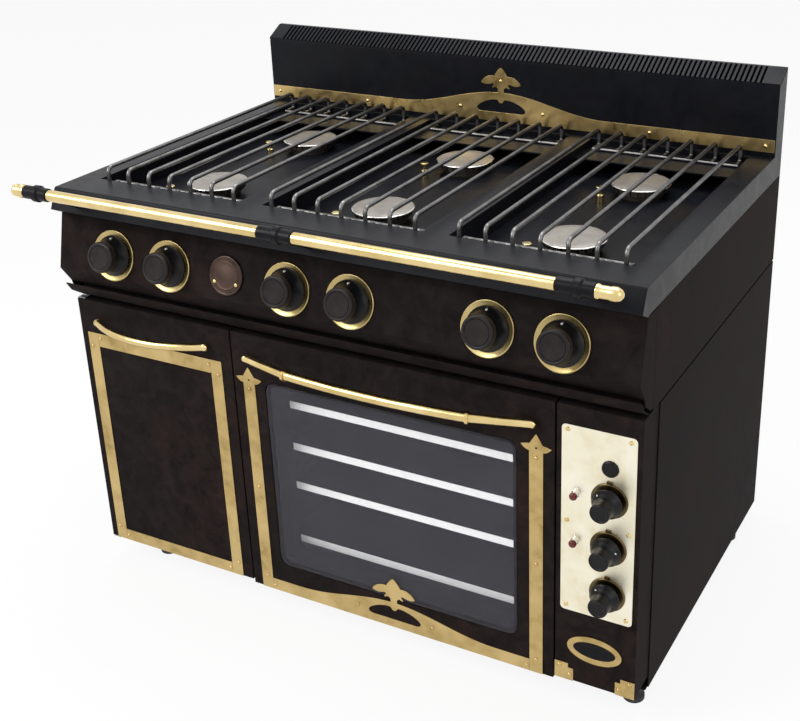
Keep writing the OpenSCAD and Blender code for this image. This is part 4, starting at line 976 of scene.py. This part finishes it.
@dataclass
class OvenKnobs:
    """Three turned knobs of the column, each with a pointer, in dark rings."""

    bench: Bench
    turns: tuple[float, ...] = (38.0, -68.0, 34.0)
    skirt_r: float = 27.5
    grip_r: float = 17.9
    collar_r: float = 15.0
    back: float = 3.6
    base: float = 12.0
    reach: float = 48.0
    ridge_size: Point = (2.6, 9.35, 8.4)

    def knob(self) -> bpy.types.Object:
        """The skirt and the grip with its flat face."""
        s, g, b, h = self.skirt_r, self.grip_r, self.base, self.reach
        flare = curve([(s, b + 2.0), (s * 0.94, b + 4.2), (s * 0.85, b + 8.0),
                       (s * 0.73, b + 12.5), (g + 0.2, b + 17.5)])
        rim = curve([(g, h - 5.0), (g - 0.5, h - 2.0), (g - 2.2, h - 0.3), (g - 4.2, h - 0.6)], 4)
        obj = lathe("oven_knob", [(0.0, self.back), (self.collar_r, self.back), (self.collar_r, b),
                                  (s - 0.5, b), (s, b + 0.6), *flare, *rim,
                                  (g - 5.2, h - 1.5), (0.0, h - 1.8)], 64)
        round_edges(obj, 0.3 * MM, 2, 40.0)
        settle(obj, 40.0)
        return obj

    def ridge(self) -> bpy.types.Object:
        """The thin raised ridge on the skirt that carries the pointer."""
        width, length, height = self.ridge_size
        obj = block(
            "ridge", (width * MM, length * MM, height * MM),
            (0.0, self.skirt_r * 0.74 * MM, (self.base + 5.2) * MM),
        )
        round_edges(obj, 0.9 * MM, 3)
        settle(obj)
        return obj

    def dot(self) -> bpy.types.Object:
        """The white dot at the ridge's outer end."""
        obj = lathe("dot", [(0.0, 0.0), (1.7, 0.0), (1.6, 0.5), (0.9, 0.9), (0.0, 1.0)], 20)
        seat(obj, (0.0, self.skirt_r * 0.83 * MM, (self.base + 9.2) * MM))
        settle(obj)
        return obj

    def build(self) -> None:
        """Makes each pattern once and copies it to the three places, turned."""
        bench = self.bench
        patterns = {"body": self.knob(), "ridge": self.ridge(), "dot": self.dot()}
        slots = {"body": "knob_black", "ridge": "knob_black", "dot": "white_mark"}
        for i, turn in enumerate(self.turns, 1):
            place, axis = bench.joint(f"oven_knob_{i}_turn")
            place = Vector((place.x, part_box("control_plate")[0][Axis.Y.value], place.z))
            for part, pattern in patterns.items():
                piece = twin(pattern, f"oven_knob_{part}_{i}")
                seat(piece, place, axis, turn)
                bench.mount(piece, f"oven_knob_{i}", slots[part], replace=part == "body")
        for pattern in patterns.values():
            discard(pattern)
        bench.soften("knob_rings", 0.5 * MM, finish="ring_bronze")
        bench.soften("push_button", 0.5 * MM)


@dataclass
class Burners:
    """Six gas burners: caps over slotted heads, each edged by a ring whose near-white metal paints
    the highlight on the cap's rim.
    """

    bench: Bench
    cap_r: float = 60.0
    cap_h: float = 5.0

    def cap(self) -> bpy.types.Object:
        """A shallow domed cap."""
        r, h = self.cap_r, self.cap_h
        top = curve([(r - 2.0, 3.3), (r - 8.0, 3.9), (r - 14.0, h - 0.5), (r * 0.4, h - 0.1),
                     (0.0, h)], 4)
        obj = lathe("cap", [(0.0, 0.1), (r - 2.0, 0.1), *top], 96)
        settle(obj)
        return obj

    def rim(self) -> bpy.types.Object:
        """The ring at a cap's edge: its rounded shape is real, its near-white metal is a painted
        highlight for the light the edge catches.
        """
        r = self.cap_r
        edge = curve([(r - 1.6, 0.0), (r - 0.2, 0.7), (r, 1.9), (r - 0.7, 3.1), (r - 2.4, 3.55)], 4)
        obj = lathe("rim", [(r - 2.4, 0.0), *edge, (r - 2.4, 0.0)], 96)
        settle(obj, 50.0)
        return obj

    def places(self) -> list[Point]:
        """Middle of each cap's underside."""
        low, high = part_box("burner_caps")
        radius = self.cap_r * MM
        rows = (low[1] + radius, high[1] - radius)
        columns = (low[0] + radius, (low[0] + high[0]) / 2, high[0] - radius)
        return [(x, y, low[2]) for x in columns for y in rows]

    def build(self) -> None:
        """Copies a cap and its painted highlight ring to the six burners and dresses what carries
        them.
        """
        bench = self.bench
        patterns = {"burner_cap": self.cap(), "burner_highlight_rim": self.rim()}
        # lamp_body's near-white metal on each ring is a painted highlight.
        slots = {"burner_cap": "burner_cap_steel", "burner_highlight_rim": "lamp_body"}
        for i, place in enumerate(self.places(), 1):
            for part, pattern in patterns.items():
                piece = twin(pattern, f"{part}_{i}")
                seat(piece, place)
                first = i == 1 and part == "burner_cap"
                bench.mount(piece, "burner_caps", slots[part], replace=first)
        for pattern in patterns.values():
            discard(pattern)
        bench.soften("pilot_burners", 0.5 * MM)
        bench.tidy("burner_bodies")
        for i in (1, 2, 3):
            bench.tidy(f"grate_{i}")


@dataclass
class Trim:
    """Brass and bronze ornament on the casing and the rail in front of it."""

    bench: Bench
    edge: float = 0.6 * MM
    medallion_r: float = 37.0
    badge_rise: float = 80.0
    badge_half: tuple[float, float] = (39.7, 16.2)
    badge_depth: tuple[float, float] = (1.9, 0.9)
    bead_count: int = 40

    def medallion(self) -> None:
        """A round bronze ornament with plain rings and a row of beads."""
        r = self.medallion_r
        rings = [(0.0, 0.0), (r, 0.0), (r, 2.6), (r - 0.6, 3.8), (r - 1.8, 4.7), (r - 3.2, 4.9),
                 (r - 4.4, 4.2), (r - 5.0, 3.2), (r - 9.6, 3.2), (r - 10.2, 4.0), (r - 11.2, 4.2),
                 (r - 12.0, 3.5), (r - 15.4, 3.3), (r - 21.0, 4.1), (r - 28.0, 4.7), (0.0, 4.9)]
        disc = lathe("medallion_disc", rings, 96)
        bead = lathe("bead", [(0.0, 0.0), (1.1, 0.0), (0.95, 0.6), (0.5, 0.95), (0.0, 1.05)], 10)
        beads = []
        reach = (r - 7.3) * MM
        for i in range(self.bead_count):
            angle = math.tau * i / self.bead_count
            beads.append(twin(bead, "bead_copy"))
            seat(beads[-1], (reach * math.cos(angle), reach * math.sin(angle), 3.1 * MM))
        discard(bead)
        disc = join([disc, *beads])
        disc.name = "medallion_finished"
        _, axis = self.bench.joint("hob_knob_1_turn")
        seat(disc, self.medallion_place(axis), axis)
        settle(disc, 40.0)
        self.bench.mount(disc, "medallion")

    def medallion_place(self, axis: Vector) -> Vector:
        """Middle of the medallion's back, from the corners of its box.

        Args:
            axis: Outward direction of the control panel.

        Returns:
            The place.
        """
        low, high = (Vector(corner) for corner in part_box("medallion"))
        thick = ((high.y - low.y) - 2 * self.medallion_r * MM * axis.z) / abs(axis.y)
        return (low + high) / 2 - axis * thick / 2

    def badge(self) -> None:
        """The dark field of the blank oval badge, inside its brass rim."""
        half_w, half_h = self.badge_half
        start, rise = self.badge_depth
        bpy.ops.object.select_all(action="DESELECT")
        bpy.ops.mesh.primitive_cylinder_add(vertices=96, radius=MM, depth=start * MM)
        obj = bpy.context.active_object
        obj.name = "badge_field"
        edit(obj)
        bpy.ops.transform.resize(value=(half_w, half_h, 1.0))
        close()
        for face in obj.data.polygons:
            face.select = face.normal.z > 0.9
        bpy.ops.object.mode_set(mode="EDIT")
        bpy.ops.mesh.select_mode(type="FACE")
        bpy.ops.mesh.inset(thickness=2.0 * MM)
        bpy.ops.transform.translate(value=(0.0, 0.0, rise * MM))
        bpy.ops.mesh.inset(thickness=5.0 * MM)
        bpy.ops.transform.translate(value=(0.0, 0.0, 0.35 * MM))
        close()
        low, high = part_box("panel_plates")
        depth = high[1] - start * MM / 2
        seat(obj, (middle("panel_plates").x, depth, low[2] + self.badge_rise * MM), FORWARD)
        settle(obj)
        self.bench.mount(obj, "panel_plates", "black_fittings", replace=False)

    def build(self) -> None:
        """Dresses strips, plates and fasteners and makes the medallion and the badge."""
        bench = self.bench
        middle_cut = ((Axis.X.value, 0.0),)
        bench.soften("backguard_trim", self.edge, cuts=middle_cut, finish="strip_brass")
        bench.soften("panel_plates", self.edge, finish="strip_brass")
        bench.soften("control_plate", self.edge, cuts=across("oven_knob_1", "indicator_lamps"))
        bench.soften("body_fasteners", 0.15 * MM, 1)
        bench.soften("rail", 1.2 * MM, 3)
        bench.soften("rail_brackets", 1.5 * MM, 3)
        self.medallion()
        self.badge()


@dataclass
class Interior:
    """What shows through the window and behind the opened doors."""

    bench: Bench
    wall: float = 15.5 * MM
    highlight_strip_t: float = 1.6 * MM
    highlight_strip_side: float = 8.0 * MM
    tray_count: int = 4

    def highlight_strips(self, trays: bpy.types.Object) -> None:
        """Puts a near-white strip on the front wall of each tray, a painted highlight for the light
        that edge catches.

        Args:
            trays: The finished trays.
        """
        low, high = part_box("baking_trays")
        reach = low[1] + self.highlight_strip_t
        levels = sorted({round(v.co.z, 4) for v in trays.data.vertices if v.co.y < reach})
        tops = [z for z in levels if not any(z < other <= z + self.wall for other in levels)]
        for i, top in enumerate(tops[-self.tray_count:], 1):
            obj = block(
                f"tray_highlight_strip_{i}",
                (high[0] - low[0] - 2 * self.highlight_strip_side, self.highlight_strip_t, self.wall),
                ((low[0] + high[0]) / 2, low[1], top - self.wall / 2),
            )
            round_edges(obj, 0.3 * MM)
            settle(obj)
            # The strip takes the slot of baking_trays, whose near-white colour paints the
            # highlight.
            self.bench.mount(obj, "baking_trays", replace=False)

    def build(self) -> None:
        """Rounds the trays' rims, adds their painted highlight strips and dresses the oven's
        inside.
        """
        trays = self.bench.soften("baking_trays", 0.5 * MM, finish="tray_enamel")
        self.highlight_strips(trays)
        self.bench.soften("oven_cavity", 0.6 * MM, cuts=((Axis.Z.value, middle("oven_cavity").z),))


@dataclass
class Remainder:
    """Every node that needs only a finish and clean shading."""

    bench: Bench

    def build(self) -> None:
        """Tidies each node that no other class has replaced."""
        for node in self.bench.frame["nodes"]:
            if node not in self.bench.done:
                self.bench.tidy(node)


# ---------------------------------------------------------------- studio


@dataclass(frozen=True)
class Photographer:
    """The camera, placed where the photograph was taken from."""

    place: Point = (1.19061, -2.02793, 1.60288)
    right: Point = (0.8860331, 0.4630915, -0.0221725)
    down: Point = (0.1631556, -0.356217, -0.9200487)
    forward: Point = (-0.4339649, 0.8115761, -0.391176)
    focal_px: float = 1276.457
    centre_px: tuple[float, float] = (462.754, 293.123)
    image_px: tuple[int, int] = (800, 721)
    sensor: float = 36.0

    def build(self) -> None:
        """Makes the camera and sets it as the scene's."""
        width, height = self.image_px
        data = bpy.data.cameras.new("camera")
        data.sensor_fit = "HORIZONTAL"
        data.sensor_width = self.sensor
        data.lens = self.focal_px * self.sensor / width
        data.shift_x = (width / 2 - self.centre_px[0]) / width
        data.shift_y = (self.centre_px[1] - height / 2) / width
        data.clip_start = 0.05
        data.clip_end = 50.0
        camera = bpy.data.objects.new("camera", data)
        bpy.context.scene.collection.objects.link(camera)
        axes = Matrix((self.right, -Vector(self.down), -Vector(self.forward))).transposed()
        camera.matrix_world = Matrix.Translation(self.place) @ axes.to_4x4()
        bpy.context.scene.camera = camera


@dataclass(frozen=True)
class Lamp:
    """A soft rectangular lamp."""

    name: str
    place: Point
    aim: Point
    size: tuple[float, float]
    watts: float
    colour: Colour = (1.0, 1.0, 1.0)

    def build(self) -> None:
        """Makes the lamp, aimed at its point."""
        data = bpy.data.lights.new(self.name, "AREA")
        data.shape = "RECTANGLE"
        data.size, data.size_y = self.size
        data.energy = self.watts
        data.color = self.colour
        lamp = bpy.data.objects.new(self.name, data)
        bpy.context.scene.collection.objects.link(lamp)
        lamp.location = self.place
        ray = Vector(self.aim) - Vector(self.place)
        lamp.rotation_euler = ray.to_track_quat("-Z", "Y").to_euler()


@dataclass
class Studio:
    """A pale floor, a white surround and soft lamps."""

    lamps: tuple[Lamp, ...] = (
        Lamp("key", (-2.2, -2.8, 3.2), (0.0, 0.0, 0.5), (2.0, 2.0), 110.0),
        Lamp("fill", (3.2, -1.6, 2.0), (0.0, 0.0, 0.5), (1.6, 2.2), 18.0),
        Lamp("top", (0.0, 0.6, 3.4), (0.0, 0.0, 0.8), (2.4, 1.6), 60.0),
        Lamp("oven_light", (0.1105, -0.2555, 0.3175), (0.1105, 0.0, 0.3175), (0.52, 0.405), 1.0),
    )
    surround: float = 0.55
    floor_size: float = 30.0
    paper_glow: float = 0.9
    mirrored: tuple[str, ...] = ("Is Glossy Ray", "Is Transmission Ray")

    def seen(self, tree: bpy.types.NodeTree) -> bpy.types.NodeSocket:
        """Share that is 1 for the eye, in reflections and through glass.

        Args:
            tree: The node tree.

        Returns:
            The share's socket.
        """
        path = tree.nodes.new("ShaderNodeLightPath")
        share = path.outputs["Is Camera Ray"]
        for kind in self.mirrored:
            either = tree.nodes.new("ShaderNodeMath")
            either.operation = "MAXIMUM"
            tree.links.new(share, either.inputs[0])
            tree.links.new(path.outputs[kind], either.inputs[1])
            share = either.outputs[0]
        return share

    def sky(self) -> None:
        """A white surround for the eye, and a plain level of light for the object."""
        world = bpy.data.worlds.new("surround")
        bpy.context.scene.world = world
        world.use_nodes = True
        tree = world.node_tree
        tree.nodes.clear()
        light = tree.nodes.new("ShaderNodeBackground")
        light.inputs["Strength"].default_value = self.surround
        white = tree.nodes.new("ShaderNodeBackground")
        white.inputs["Color"].default_value = (1.0, 1.0, 1.0, 1.0)
        mix = tree.nodes.new("ShaderNodeMixShader")
        out = tree.nodes.new("ShaderNodeOutputWorld")
        tree.links.new(self.seen(tree), mix.inputs[0])
        tree.links.new(light.outputs[0], mix.inputs[1])
        tree.links.new(white.outputs[0], mix.inputs[2])
        tree.links.new(mix.outputs[0], out.inputs[0])

    def floor(self) -> None:
        """A pale floor that shows white to the eye and keeps a soft shadow."""
        bpy.ops.object.select_all(action="DESELECT")
        bpy.ops.mesh.primitive_plane_add(size=self.floor_size, location=(0.0, 0.0, -0.5 * MM))
        floor = bpy.context.active_object
        floor.name = "studio_floor"
        material = bpy.data.materials.new("floor_paper")
        material.use_nodes = True
        tree = material.node_tree
        shader = tree.nodes["Principled BSDF"]
        shader.inputs["Base Color"].default_value = (0.9, 0.9, 0.9, 1.0)
        shader.inputs["Roughness"].default_value = 0.9
        shader.inputs["Specular IOR Level"].default_value = 0.1
        glow = tree.nodes.new("ShaderNodeEmission")
        glow.inputs["Color"].default_value = (1.0, 1.0, 1.0, 1.0)
        part = tree.nodes.new("ShaderNodeMath")
        part.operation = "MULTIPLY"
        part.inputs[1].default_value = self.paper_glow
        tree.links.new(self.seen(tree), part.inputs[0])
        mix = tree.nodes.new("ShaderNodeMixShader")
        tree.links.new(part.outputs[0], mix.inputs[0])
        tree.links.new(shader.outputs[0], mix.inputs[1])
        tree.links.new(glow.outputs[0], mix.inputs[2])
        tree.links.new(mix.outputs[0], tree.nodes["Material Output"].inputs[0])
        floor.data.materials.append(material)

    def build(self) -> None:
        """Sets the view transform and makes surround, floor and lamps."""
        bpy.context.scene.view_settings.view_transform = "Standard"
        self.sky()
        self.floor()
        for lamp in self.lamps:
            lamp.build()


def main() -> None:
    """Builds the cooker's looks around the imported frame."""
    logging.basicConfig(level=logging.INFO, format="%(message)s")
    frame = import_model()
    Photographer().build()
    Studio().build()
    bench = Bench(frame, Wardrobe())
    for assembly in (Casing, Doors, HobKnobs, OvenKnobs, Burners, Trim, Interior, Remainder):
        assembly(bench).build()


if __name__ == "__main__":
    main()
